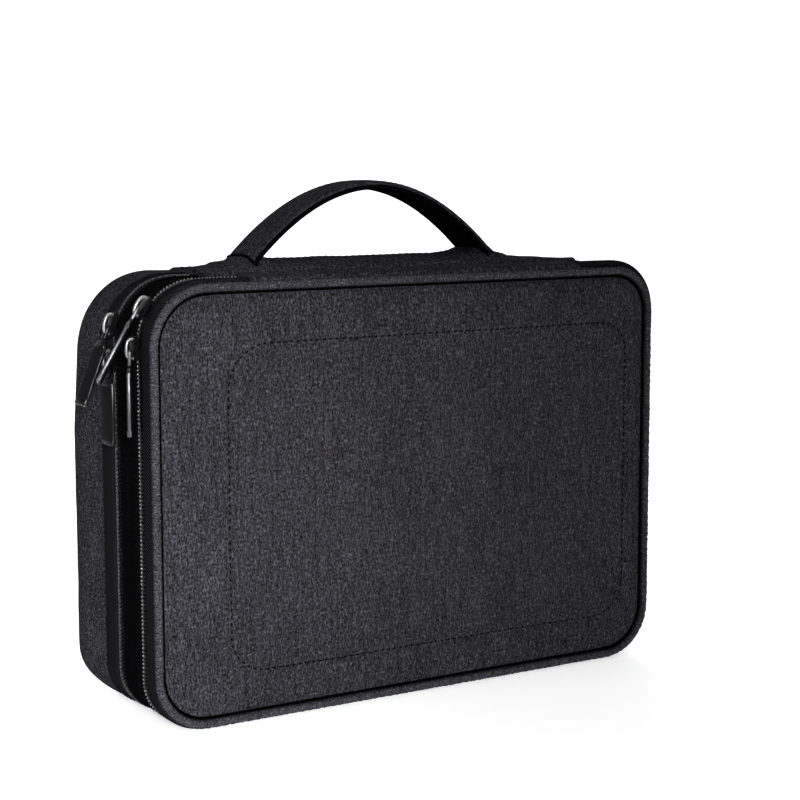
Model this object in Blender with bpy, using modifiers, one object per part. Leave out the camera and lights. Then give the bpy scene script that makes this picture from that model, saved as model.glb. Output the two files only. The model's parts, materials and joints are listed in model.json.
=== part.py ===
"""Cable organizer pouch: three padded leaves that open like a book along their top edge,
two zips with two sliders each, and a carrying handle. Metres, +Z up, front towards -Y.
The origin is on the floor under the rear zip, at mid-width."""

import math

import bpy
from mathutils import Matrix, Vector

OBJECT_NAME = "cable_organizer_pouch"
MM = 0.001
GAP = 0.3 * MM                 # between pieces that touch on the real pouch

# Outer size and outline
WIDTH = 262 * MM
HEIGHT = 190 * MM
FRONT_Y = -40 * MM
CORNER = 26.6 * MM             # radius of the outline's upper corners
FOOT_CORNER = 22 * MM          # and of its lower corners
HALF = WIDTH / 2
CORNER_X = -HALF + CORNER      # centre of the upper left corner's arc
CORNER_Z = HEIGHT - CORNER

# Zips
FRONT_ZIP_Y = -26.5 * MM
REAR_ZIP_Y = -2.5 * MM
SLOT = 1.2 * MM                # gap between a zip's two rows of teeth
ROW = 2.6 * MM                 # width of one row of teeth
TEETH_THICK = 2.1 * MM
TAPE_THICK = 1.3 * MM
FRONT_ZIP_ENDS = (-83 * MM, 88 * MM)   # where the zips stop on the top edge, in X
REAR_ZIP_ENDS = (-94 * MM, 94 * MM)

# Front lid, each layer from its front to its back
PIPING_R = 2.0 * MM
LID_SEAM = 2 * PIPING_R + GAP          # the panel's inset behind the piping
# the panel's crown: depths, and how far the outline has drawn in at each
LID_CROWN = ((FRONT_Y + 0.05 * MM, 6 * MM), (-39.5 * MM, 1.6 * MM), (-38.6 * MM, 0), (-37 * MM, 0))
LID_FOAM_Y = (-36.6 * MM, -33.8 * MM)
LID_LINING_Y = (-33.4 * MM, -32.4 * MM)
LID_POCKET_Y = (-32.0 * MM, -31.2 * MM)
LID_POCKET_Z = (12 * MM, 178 * MM)
LID_POCKET_WIDTH = 74 * MM
LID_POCKETS = {"left": -116 * MM, "middle": -38 * MM, "right": 40 * MM}
LID_BINDING_WIDTH = 3 * MM
LID_BINDINGS = {"left": -41.5 * MM, "right": 36.5 * MM}
LID_ELASTIC_Y = (-30.8 * MM, -29.8 * MM)
LID_ELASTIC_X = (-37 * MM, 113 * MM)
LID_ELASTIC_WIDTH = 20 * MM
LID_ELASTICS = {"low": 44 * MM, "high": 118 * MM}

# Middle leaf
SKIN = 1.6 * MM                        # fabric with its foam backing
LINER = 1.0 * MM
MIDDLE_BAND = (-22.9 * MM, -6.1 * MM)
MIDDLE_LINING_Y = (-21.9 * MM, -14.6 * MM)
PARTITION_Y = (-14.2 * MM, -9.2 * MM)
LOOPS_Y = (-15.9 * MM, -14.7 * MM)
LOOPS_X = (-112 * MM, 36 * MM)
LOOPS_WIDTH = 24 * MM
LOOPS = {"low": 34 * MM, "middle": 84 * MM, "high": 134 * MM}
POCKET_X = (42 * MM, 114 * MM)
POCKET_Y = (-16.3 * MM, -14.7 * MM)
POCKET_Z = (14 * MM, 172 * MM)

# Rear case
REAR_BAND_END = 9.7 * MM
BACK_Y = 40 * MM
# the gusset: depth, half width, lowest and highest Z, upper and lower corner radius
REAR_SHELL = (
    (10 * MM, WIDTH / 2, 0.0, HEIGHT, CORNER, FOOT_CORNER),
    (24 * MM, WIDTH / 2, 0.0, HEIGHT, 29 * MM, FOOT_CORNER),
    (37 * MM, WIDTH / 2, 0.0, HEIGHT - 0.5 * MM, 34 * MM, 24 * MM),
)
# the back panel's crown: depths, and how far the outline has drawn in at each
BACK_CROWN = (
    (37.3 * MM, 0.4 * MM), (38.8 * MM, 1.4 * MM), (39.6 * MM, 3.2 * MM), (BACK_Y, 6.5 * MM)
)

# Tray in the rear case
TRAY_HALF = 128.9 * MM
TRAY_Z = (2.1 * MM, 187.2 * MM)
TRAY_CORNER = 33 * MM
TRAY_WALL_Y = (1.6 * MM, 36.7 * MM)
PADDING = 3.0 * MM
TRAY_FLOOR_Y = (33.9 * MM, 34.6 * MM)
TRAY_BOARD_Y = (34.9 * MM, 36.7 * MM)
DIVIDER = 6 * MM
DIVIDER_X = 43 * MM
DIVIDER_Y = (3 * MM, 33.6 * MM)
DIVIDER_EDGE = 1.4 * MM
MIDDLE_DIVIDER_Z = 100 * MM
SIDE_DIVIDER_Z = 64 * MM

# Hinges
TOP_HINGE_Z = 191.5 * MM
MIDDLE_HINGE_Y = 10 * MM
LID_HINGE_Y = -32 * MM

# Spine and handle
SPINE_HALF = 98 * MM
SPINE_Y = (-24 * MM, 9.7 * MM)
SPINE_THICK = 2.0 * MM
SPINE_EDGE = 0.8 * MM
HINGE_STRIP_FRONT = -29.6 * MM
HINGE_STRIP_THICK = 1.6 * MM
HANDLE_X = (-67 * MM, 51 * MM)
HANDLE_Y = -3 * MM
HANDLE_WIDTH = 24 * MM
HANDLE_RISE = 30.5 * MM
ANCHOR_THICK = 1.0 * MM
ANCHOR_HALF = 15 * MM
ANCHOR_FRONT = 11.5 * MM       # of its front edge from the handle's middle
ANCHOR_EDGE = 0.3 * MM
HANDLE_CLEARANCE = 1.8 * MM    # so that the strap's feet can tip without touching
HANDLE_FOOT_Z = HEIGHT + GAP + SPINE_THICK + GAP + ANCHOR_THICK + HANDLE_CLEARANCE
HANDLE_STEPS = 24
HANDLE_SKIN = 1.7 * MM
HANDLE_LINING = 1.2 * MM

# Sliders and pulls
SLIDER_LENGTH = 10 * MM
PLATE = 0.9 * MM
PLATE_HALF = 4.2 * MM
INNER_PLATE_HALF = 3.6 * MM
WEB_HALF = 0.3 * MM
BRIDGE_WIRE = 0.6 * MM
BRIDGE_RISE = 2.25 * MM
BRIDGE_FOOT = 3.6 * MM
BRIDGE_BEND = 1.3 * MM
BRIDGE_STEPS = 3
PULL_AXIS_RISE = 2.65 * MM     # of the pull's bar over the teeth
PULL_LENGTH = 37 * MM
PULL_HALF = 5.8 * MM
PULL_HEAD_HALF = 3.4 * MM
PULL_NECK = 9.5 * MM           # from the bar down to the full width
PULL_SHOULDER = 2 * MM
PULL_THICK = 1.2 * MM
EYE_HALF = 1.7 * MM
EYE_LENGTH = 7.4 * MM
WINDOW_RIM = 1.1 * MM
WINDOW_TOP = 1.6 * MM
WINDOW_FOOT = 3.2 * MM
INSERT_THICK = 1.0 * MM
PLATE_RISE = 0.8 * MM          # of a slider's outer plate over the teeth
PLATE_DROP = 1.3 * MM          # of its inner plate under them
INNER_PLATE = 0.8 * MM
# each zip's depth, lower slider's height, upper slider's angle up the corner's arc and
# the angle from upright at which the upper pull rests, in degrees
ZIPS = {
    "front": (FRONT_ZIP_Y, 162 * MM, 33, 31),
    "rear": (REAR_ZIP_Y, 155 * MM, 14, 21),
}

ARC_STEPS = 7
ROUND = 2                      # bevel resolution of round bars
EMPTY_SIZE = 10 * MM

COLOURS = {
    "fabric": ((0.035, 0.035, 0.040), 0.9, 0.0),
    "tape": ((0.008, 0.008, 0.009), 0.8, 0.0),
    "teeth": ((0.02, 0.02, 0.022), 0.45, 0.0),
    "lining": ((0.42, 0.42, 0.44), 0.85, 0.0),
    "foam": ((0.20, 0.20, 0.21), 0.9, 0.0),
    "mesh": ((0.50, 0.51, 0.53), 0.7, 0.0),
    "elastic": ((0.62, 0.62, 0.63), 0.8, 0.0),
    "metal": ((0.12, 0.12, 0.13), 0.3, 1.0),
    "insert": ((0.012, 0.012, 0.013), 0.6, 0.0),
}


def clear_scene():
    for old in list(bpy.data.objects):
        bpy.data.objects.remove(old, do_unlink=True)


def material(name):
    found = bpy.data.materials.get(name) or bpy.data.materials.new(name)
    colour, roughness, metallic = COLOURS[name]
    found.use_nodes = True
    surface = found.node_tree.nodes["Principled BSDF"]
    surface.inputs["Base Color"].default_value = (*colour, 1)
    surface.inputs["Roughness"].default_value = roughness
    surface.inputs["Metallic"].default_value = metallic
    return found


def place(name, data, finish, matrix=None, parent=None):
    """Link a new object, in its own material, at a world matrix."""
    piece = bpy.data.objects.new(name, data)
    bpy.data.collections[OBJECT_NAME].objects.link(piece)
    piece.data.materials.append(material(finish))
    piece.matrix_world = matrix or Matrix()
    if parent:
        bpy.context.view_layer.update()
        piece.parent = parent
        piece.matrix_parent_inverse = parent.matrix_world.inverted()
    return piece


def hinge_point(name, at, parent=None):
    """An empty on a joint's axis, which its pieces follow."""
    empty = bpy.data.objects.new(name, None)
    bpy.data.collections[OBJECT_NAME].objects.link(empty)
    empty.empty_display_size = EMPTY_SIZE
    empty.matrix_world = Matrix.Translation(at)
    bpy.context.view_layer.update()
    if parent:
        empty.parent = parent
        empty.matrix_parent_inverse = parent.matrix_world.inverted()
        bpy.context.view_layer.update()
    return empty


def arc(centre, radius, start, end, steps=ARC_STEPS):
    """Points of an arc in degrees, both ends included."""
    turns = [math.radians(start + (end - start) * k / steps) for k in range(steps + 1)]
    return [(centre[0] + radius * math.cos(a), centre[1] + radius * math.sin(a)) for a in turns]


def outline(inset=0.0, half=HALF, low=0.0, high=HEIGHT, radius=CORNER, low_radius=FOOT_CORNER):
    """A rounded rectangle across X and Z, from the top left corner round the bottom."""
    top, foot = radius - inset, low_radius - inset
    left, right = -half + inset, half - inset
    low, high = low + inset, high - inset
    return (
        arc((left + top, high - top), top, 90, 180)
        + arc((left + foot, low + foot), foot, 180, 270)
        + arc((right - foot, low + foot), foot, 270, 360)
        + arc((right - top, high - top), top, 0, 90)
    )


def flat_curve(name, loops, thick):
    """A filled 2D curve through closed loops, extruded to a thickness."""
    data = bpy.data.curves.new(name, "CURVE")
    data.dimensions = "2D"
    data.fill_mode = "BOTH"
    data.extrude = thick / 2
    for points in loops:
        spline = data.splines.new("POLY")
        spline.points.add(len(points) - 1)
        for point, (u, v) in zip(spline.points, points):
            point.co = (u, v, 0, 1)
        spline.use_cyclic_u = True
    return data


def round_bar(name, radius):
    """The data of a round bar."""
    data = bpy.data.curves.new(name, "CURVE")
    data.dimensions = "3D"
    data.bevel_depth = radius
    data.bevel_resolution = ROUND
    data.use_fill_caps = True
    return data


def bar_route(data, route, closed=False):
    """Lead a round bar through points."""
    spline = data.splines.new("POLY")
    spline.points.add(len(route) - 1)
    for point, at in zip(spline.points, route):
        point.co = (*at, 1)
    spline.use_cyclic_u = closed


def standing(y):
    """The matrix that stands a flat curve up, its X and Y along X and Z, at a depth."""
    return Matrix.Translation((0, y, 0)) @ Matrix.Rotation(math.pi / 2, 4, "X")


def slab(name, loops, y0, y1, finish, parent=None):
    """A flat piece of any outline, between two depths."""
    return place(name, flat_curve(name, loops, y1 - y0), finish, standing((y0 + y1) / 2), parent)


def hoop(name, y0, y1, inset, thick, finish, parent=None):
    """A closed band round the pouch's side, inset from the outline."""
    return slab(name, [outline(inset), outline(inset + thick)], y0, y1, finish, parent)


def open_band(name, y0, y1, thick, ends, finish, parent=None):
    """A band round the pouch's side that is open along the top between two places."""
    outer = [(ends[0], HEIGHT)] + outline() + [(ends[1], HEIGHT)]
    inner = [(ends[0], HEIGHT - thick)] + outline(thick) + [(ends[1], HEIGHT - thick)]
    return slab(name, [outer + inner[::-1]], y0, y1, finish, parent)


def loft(name, stations, finish, parent=None):
    """A closed solid through outlines of equal point count, each (depth, outline)."""
    rings = [[Vector((x, y, z)) for x, z in points] for y, points in stations]
    count = len(rings[0])
    vertices = [v for ring in rings for v in ring]
    faces = []
    for k in range(len(rings) - 1):
        for i in range(count):
            j = (i + 1) % count
            faces.append((k * count + i, (k + 1) * count + i, (k + 1) * count + j, k * count + j))
    faces.append(tuple(range(count)))
    faces.append(tuple((len(rings) - 1) * count + i for i in reversed(range(count))))
    data = bpy.data.meshes.new(name)
    data.from_pydata(vertices, [], faces)
    data.update()
    return place(name, data, finish, None, parent)


def loft_hoop(name, stations, finish, parent=None):
    """A closed band through stations of (depth, outer outline, inner outline)."""
    loops = [(y, points) for y, points, _ in stations]
    loops += [(y, points) for y, _, points in reversed(stations)]
    count = len(loops[0][1])
    vertices = [Vector((x, y, z)) for y, points in loops for x, z in points]
    faces = []
    for k in range(len(loops)):
        n = (k + 1) % len(loops)
        for i in range(count):
            j = (i + 1) % count
            faces.append((k * count + i, n * count + i, n * count + j, k * count + j))
    data = bpy.data.meshes.new(name)
    data.from_pydata(vertices, [], faces)
    data.update()
    return place(name, data, finish, None, parent)


def box(name, x, y, z, finish, parent=None, bevel=0.0):
    """A box between pairs of coordinates, from a primitive cube."""
    bpy.ops.mesh.primitive_cube_add(size=1)
    piece = bpy.context.object
    piece.name = piece.data.name = name
    for holder in list(piece.users_collection):
        holder.objects.unlink(piece)
    bpy.data.collections[OBJECT_NAME].objects.link(piece)
    spans = [b - a for a, b in (x, y, z)]
    piece.data.transform(Matrix.Diagonal((*spans, 1)))
    piece.location = [(a + b) / 2 for a, b in (x, y, z)]
    piece.data.materials.append(material(finish))
    if bevel:
        edge = piece.modifiers.new("edge", "BEVEL")
        edge.width = bevel
        edge.segments = 2
    if parent:
        bpy.context.view_layer.update()
        piece.parent = parent
        piece.matrix_parent_inverse = parent.matrix_world.inverted()
    return piece


def tray_outline(inset=0.0):
    return outline(inset, TRAY_HALF, *TRAY_Z, TRAY_CORNER, TRAY_CORNER)


def rear_case():
    slot_edge = REAR_ZIP_Y + SLOT / 2
    open_band("rear_zip_teeth_back", slot_edge, slot_edge + ROW, TEETH_THICK, REAR_ZIP_ENDS, "teeth")
    hoop("rear_zip_tape", slot_edge + ROW + GAP, REAR_BAND_END, 0, TAPE_THICK, "tape")
    stations = [(y, outline(0, *shape), outline(SKIN, *shape)) for y, *shape in REAR_SHELL]
    loft_hoop("rear_gusset", stations, "fabric")
    _, *shape = REAR_SHELL[-1]
    loft("rear_panel", [(y, outline(inset, *shape)) for y, inset in BACK_CROWN], "fabric")
    lining = PADDING + GAP
    inside = lining + LINER + GAP
    walls = (("tray_wall_padding", 0.0, PADDING, "foam"), ("tray_wall_lining", lining, LINER, "lining"))
    for name, inset, thick, finish in walls:
        slab(name, [tray_outline(inset), tray_outline(inset + thick)], *TRAY_WALL_Y, finish)
    slab("tray_floor_lining", [tray_outline(inside)], *TRAY_FLOOR_Y, "lining")
    slab("tray_floor_board", [tray_outline(inside)], *TRAY_BOARD_Y, "foam")
    dividers()


def dividers():
    """Two long dividers up the tray and two short ones across it."""
    inside = PADDING + LINER + 2 * GAP
    height = (TRAY_Z[0] + inside, TRAY_Z[1] - inside)
    near, far = DIVIDER_X - DIVIDER / 2, DIVIDER_X + DIVIDER / 2
    places = {
        "left": ((-far, -near), height),
        "right": ((near, far), height),
        "middle": ((GAP - near, near - GAP), (MIDDLE_DIVIDER_Z, MIDDLE_DIVIDER_Z + DIVIDER)),
        "side": ((far + GAP, TRAY_HALF - inside), (SIDE_DIVIDER_Z, SIDE_DIVIDER_Z + DIVIDER)),
    }
    for name, (x, z) in places.items():
        box(f"tray_divider_{name}", x, DIVIDER_Y, z, "lining", None, DIVIDER_EDGE)


def middle_leaf(hinge):
    front_slot, rear_slot = FRONT_ZIP_Y + SLOT / 2, REAR_ZIP_Y - SLOT / 2
    open_band("front_zip_teeth_back", front_slot, front_slot + ROW, TEETH_THICK, FRONT_ZIP_ENDS,
              "teeth", hinge)
    open_band("rear_zip_teeth_front", rear_slot - ROW, rear_slot, TEETH_THICK, REAR_ZIP_ENDS,
              "teeth", hinge)
    hoop("middle_band", *MIDDLE_BAND, 0, SKIN, "tape", hinge)
    hoop("middle_band_lining", *MIDDLE_LINING_Y, SKIN + GAP, LINER, "lining", hinge)
    slab("middle_partition", [outline(SKIN + GAP)], *PARTITION_Y, "lining", hinge)
    for name, z in LOOPS.items():
        box(f"partition_elastic_{name}", LOOPS_X, LOOPS_Y, (z, z + LOOPS_WIDTH), "elastic", hinge)
    box("partition_pocket", POCKET_X, POCKET_Y, POCKET_Z, "mesh", hinge)
    top = HEIGHT + GAP
    box("spine_panel", (-SPINE_HALF, SPINE_HALF), SPINE_Y, (top, top + SPINE_THICK), "fabric", hinge,
        SPINE_EDGE)
    x0, x1 = FRONT_ZIP_ENDS
    box("lid_hinge_strip", (x0 + GAP, x1 - GAP), (HINGE_STRIP_FRONT, MIDDLE_BAND[0] - GAP),
        (HEIGHT - HINGE_STRIP_THICK, HEIGHT), "fabric", hinge)
    over = top + SPINE_THICK + GAP
    for x, name in zip(HANDLE_X, ("left", "right")):
        box(f"handle_anchor_{name}", (x - ANCHOR_HALF, x + ANCHOR_HALF),
            (HANDLE_Y - ANCHOR_FRONT, SPINE_Y[1]), (over, over + ANCHOR_THICK), "fabric", hinge,
            ANCHOR_EDGE)


def front_lid(hinge):
    slot_edge = FRONT_ZIP_Y - SLOT / 2
    open_band("front_zip_teeth_front", slot_edge - ROW, slot_edge, TEETH_THICK, FRONT_ZIP_ENDS,
              "teeth", hinge)
    hoop("lid_band", FRONT_Y + LID_SEAM, slot_edge - ROW - GAP, 0, TAPE_THICK, "tape", hinge)
    piping = round_bar("lid_piping", PIPING_R)
    bar_route(piping, [(x, FRONT_Y + PIPING_R, z) for x, z in outline(PIPING_R)], True)
    place("lid_piping", piping, "fabric", None, hinge)
    loft("lid_panel", [(y, outline(LID_SEAM + inset)) for y, inset in LID_CROWN], "fabric", hinge)
    slab("lid_padding", [outline(LID_SEAM)], *LID_FOAM_Y, "foam", hinge)
    slab("lid_lining", [outline(LID_SEAM)], *LID_LINING_Y, "lining", hinge)
    for name, x in LID_POCKETS.items():
        box(f"lid_pocket_{name}", (x, x + LID_POCKET_WIDTH), LID_POCKET_Y, LID_POCKET_Z, "mesh", hinge)
    for name, x in LID_BINDINGS.items():
        box(f"lid_pocket_binding_{name}", (x, x + LID_BINDING_WIDTH), LID_POCKET_Y, LID_POCKET_Z,
            "elastic", hinge)
    for name, z in LID_ELASTICS.items():
        box(f"lid_elastic_{name}", LID_ELASTIC_X, LID_ELASTIC_Y, (z, z + LID_ELASTIC_WIDTH),
            "elastic", hinge)


def handle(hinge):
    """A strap in two layers that arches over the spine between two feet."""
    middle = (HANDLE_X[0] + HANDLE_X[1]) / 2
    reach = (HANDLE_X[1] - HANDLE_X[0]) / 2

    def arch(lift):
        """A parabola between the feet, moved outwards by a distance."""
        points = []
        for k in range(HANDLE_STEPS + 1):
            across = 2 * k / HANDLE_STEPS - 1
            slope = math.atan2(-2 * HANDLE_RISE * across, reach)
            x = middle + reach * across - lift * math.sin(slope)
            z = HANDLE_FOOT_Z + HANDLE_RISE * (1 - across**2) + lift * math.cos(slope)
            points.append((x, z))
        return points

    outer = HANDLE_LINING + GAP
    layers = (
        ("handle_lining", 0, HANDLE_LINING, "tape"),
        ("handle_strap", outer, outer + HANDLE_SKIN, "fabric"),
    )
    for name, low, high, finish in layers:
        data = flat_curve(name, [arch(high) + arch(low)[::-1]], HANDLE_WIDTH)
        place(name, data, finish, standing(HANDLE_Y), hinge)


def slider(name, y, centre, turn, hinge):
    """A slider's body and bridge, at a place on the zip. turn leans its top inwards."""
    # local X is outwards from the zip, local Y across it and local Z up along it
    local = Matrix.Translation((centre[0], y, centre[1])) @ Matrix.Rotation(turn, 4, "Y")
    upright = local @ Matrix.Rotation(math.pi, 4, "Z")
    top, low = PLATE_RISE, -TEETH_THICK - PLATE_DROP
    half = [
        (top + PLATE, PLATE_HALF),
        (top, PLATE_HALF),
        (top, WEB_HALF),
        (low, WEB_HALF),
        (low, INNER_PLATE_HALF),
        (low - INNER_PLATE, INNER_PLATE_HALF),
    ]
    profile = half + [(n, -w) for n, w in reversed(half)]
    place(f"{name}_body", flat_curve(name, [profile], SLIDER_LENGTH), "metal", upright, hinge)

    foot = top + PLATE + GAP
    crest = foot + BRIDGE_RISE - BRIDGE_BEND
    bend = arc((0, 0), BRIDGE_BEND, 180, 90, BRIDGE_STEPS)
    route = [(foot, -BRIDGE_FOOT)] + [(crest + n, t - BRIDGE_FOOT + BRIDGE_BEND) for t, n in bend]
    route += [(n, -t) for n, t in reversed(route)]
    wire = round_bar(f"{name}_bridge", BRIDGE_WIRE)
    bar_route(wire, [(n, 0, t) for n, t in route])
    place(f"{name}_bridge", wire, "metal", upright, hinge)


def pull(name, hinge):
    """A pull's frame and its insert, hanging from the bar on the empty's axis."""
    head, bar = PULL_HEAD_HALF, PULL_THICK / 2
    shoulder = -PULL_NECK + PULL_SHOULDER
    frame = [
        (-head, bar), (head, bar), (head, shoulder), (PULL_HALF, -PULL_NECK),
        (PULL_HALF, -PULL_LENGTH + bar), (-PULL_HALF, -PULL_LENGTH + bar),
        (-PULL_HALF, -PULL_NECK), (-head, shoulder),
    ]
    eye = [(-EYE_HALF, -bar), (EYE_HALF, -bar), (EYE_HALF, -EYE_LENGTH), (-EYE_HALF, -EYE_LENGTH)]
    rim = PULL_HALF - WINDOW_RIM
    high, low = -PULL_NECK - WINDOW_TOP, -PULL_LENGTH + WINDOW_FOOT
    window = [(-rim, high), (rim, high), (rim, low), (-rim, low)]
    rim, high, low = rim - GAP, high - GAP, low + GAP
    inner = [(-rim, high), (rim, high), (rim, low), (-rim, low)]
    turn = Matrix.Rotation(math.radians(90), 4, "Z") @ Matrix.Rotation(math.radians(90), 4, "X")
    there = hinge.matrix_world @ turn
    place(f"{name}_frame", flat_curve(name, [frame, eye, window], PULL_THICK), "metal", there, hinge)
    place(f"{name}_insert", flat_curve(f"{name}_insert", [inner], INSERT_THICK), "insert", there, hinge)


def slider_set(prefix, carrier):
    """The two sliders of a zip: the lower runs down the side, the upper round the corner."""
    y, lower_z, slider_angle, pull_angle = ZIPS[prefix]
    slide = hinge_point(f"{prefix}_lower_track", (-HALF, y, lower_z), carrier)
    slider(f"{prefix}_slider_lower", y, (-HALF, lower_z), 0, slide)
    bar = hinge_point(f"{prefix}_pull_lower_axis", (-HALF - PULL_AXIS_RISE, y, lower_z), slide)
    pull(f"{prefix}_pull_lower", bar)

    turn = math.radians(slider_angle)
    way = (-math.cos(turn), math.sin(turn))
    track = hinge_point(f"{prefix}_upper_track", (CORNER_X, y, CORNER_Z), carrier)
    centre = (CORNER_X + CORNER * way[0], CORNER_Z + CORNER * way[1])
    slider(f"{prefix}_slider_upper", y, centre, turn, track)
    reach = CORNER + PULL_AXIS_RISE
    at = (CORNER_X + reach * way[0], y, CORNER_Z + reach * way[1])
    bar = hinge_point(f"{prefix}_pull_upper_axis", at, track)
    bar.matrix_world = bar.matrix_world @ Matrix.Rotation(math.radians(pull_angle), 4, "Y")
    bpy.context.view_layer.update()
    pull(f"{prefix}_pull_upper", bar)


def main():
    clear_scene()
    if OBJECT_NAME not in bpy.data.collections:
        bpy.context.scene.collection.children.link(bpy.data.collections.new(OBJECT_NAME))
    rear_case()
    middle = hinge_point("middle_hinge", (0, MIDDLE_HINGE_Y, TOP_HINGE_Z))
    middle_leaf(middle)
    front_lid(hinge_point("lid_hinge", (0, LID_HINGE_Y, TOP_HINGE_Z), middle))
    handle(hinge_point("handle_lean", (0, HANDLE_Y, HANDLE_FOOT_Z), middle))
    slider_set("front", middle)
    slider_set("rear", None)


main()
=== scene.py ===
"""Looks of the cable organizer pouch: melange fabric shell, coil zips, handle and grey lining."""

import json
import math

import bmesh
import bpy
import numpy as np
from mathutils import Matrix, Vector


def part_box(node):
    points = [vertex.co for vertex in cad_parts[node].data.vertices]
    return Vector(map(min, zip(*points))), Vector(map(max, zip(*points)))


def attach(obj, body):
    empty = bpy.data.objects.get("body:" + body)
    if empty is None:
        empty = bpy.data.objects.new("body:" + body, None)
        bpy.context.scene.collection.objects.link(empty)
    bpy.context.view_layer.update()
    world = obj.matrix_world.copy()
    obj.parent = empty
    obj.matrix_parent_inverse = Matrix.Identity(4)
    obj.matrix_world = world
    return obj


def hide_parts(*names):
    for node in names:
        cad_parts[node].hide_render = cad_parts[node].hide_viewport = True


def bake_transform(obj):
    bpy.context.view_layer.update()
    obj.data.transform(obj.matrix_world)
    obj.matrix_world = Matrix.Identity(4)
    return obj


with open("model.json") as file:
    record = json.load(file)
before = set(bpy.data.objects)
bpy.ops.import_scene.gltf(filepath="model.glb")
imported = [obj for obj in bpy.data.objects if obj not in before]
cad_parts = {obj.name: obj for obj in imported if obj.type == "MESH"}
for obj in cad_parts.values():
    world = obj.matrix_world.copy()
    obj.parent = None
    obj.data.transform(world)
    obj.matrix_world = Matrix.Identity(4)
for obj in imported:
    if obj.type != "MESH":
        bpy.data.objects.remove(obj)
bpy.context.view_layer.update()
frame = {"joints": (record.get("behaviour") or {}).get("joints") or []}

MM = 0.001


def mm(*lengths):
    """Lengths given in millimetres, in metres."""
    return tuple(length * MM for length in lengths)


# The outline that the side bands follow, from the CAD bands
LOW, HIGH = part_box("middle_band")
HALF = HIGH.x
TOP = HIGH.z
CORNER = 26.6 * MM
FOOT = 22 * MM
SHAPE = (HALF, 0.0, TOP, CORNER, FOOT)          # half width, low, high, top and foot radius
BACK_SHAPE = (HALF, 0.0, TOP - 0.5 * MM, 34 * MM, 24 * MM)
LID_SHAPE = (HALF, 0.0, TOP - 1.4 * MM, CORNER, 24.5 * MM)   # the piping sits a little lower
TIGHTER = 5 * MM       # the top right corner's radius is smaller by this
PIPING = 2 * MM

# Quilted rectangle on the lid, in X and Z
QUILT_LEFT, QUILT_RIGHT = -96 * MM, 114 * MM
QUILT_MIDDLE = (QUILT_LEFT + QUILT_RIGHT) / 2
QUILT_CORNER = 17 * MM
QUILT_SHAPE = ((QUILT_RIGHT - QUILT_LEFT) / 2, 22 * MM, 162.5 * MM, QUILT_CORNER + TIGHTER / 2, QUILT_CORNER)

TEETH_PITCH = 1.7 * MM
FRONT_ZIP_Y = (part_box("front_zip_teeth_front")[1].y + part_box("front_zip_teeth_back")[0].y) / 2
REAR_ZIP_Y = (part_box("rear_zip_teeth_front")[1].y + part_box("rear_zip_teeth_back")[0].y) / 2
FRONT_ZIP_ENDS = (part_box("lid_hinge_strip")[0].x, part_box("lid_hinge_strip")[1].x)
REAR_ZIP_ENDS = mm(-94, 94)

# The view, in metres, and the light
CAMERA_AT = (-0.4484, -0.7344, 0.2409)
CAMERA_RIGHT = (0.846584, -0.532254, -0.000722)
CAMERA_FORWARD = (0.527693, 0.839505, -0.129506)
CAMERA_LENS = 84.6
FLOOR_GLOW, BACKDROP_GLOW, WORLD_LIGHT = 0.58, 0.9, 0.22
KEY_POWER, TOP_POWER, BACK_POWER = 0.55, 4, 8


# ---------------------------------------------------------------- materials

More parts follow.
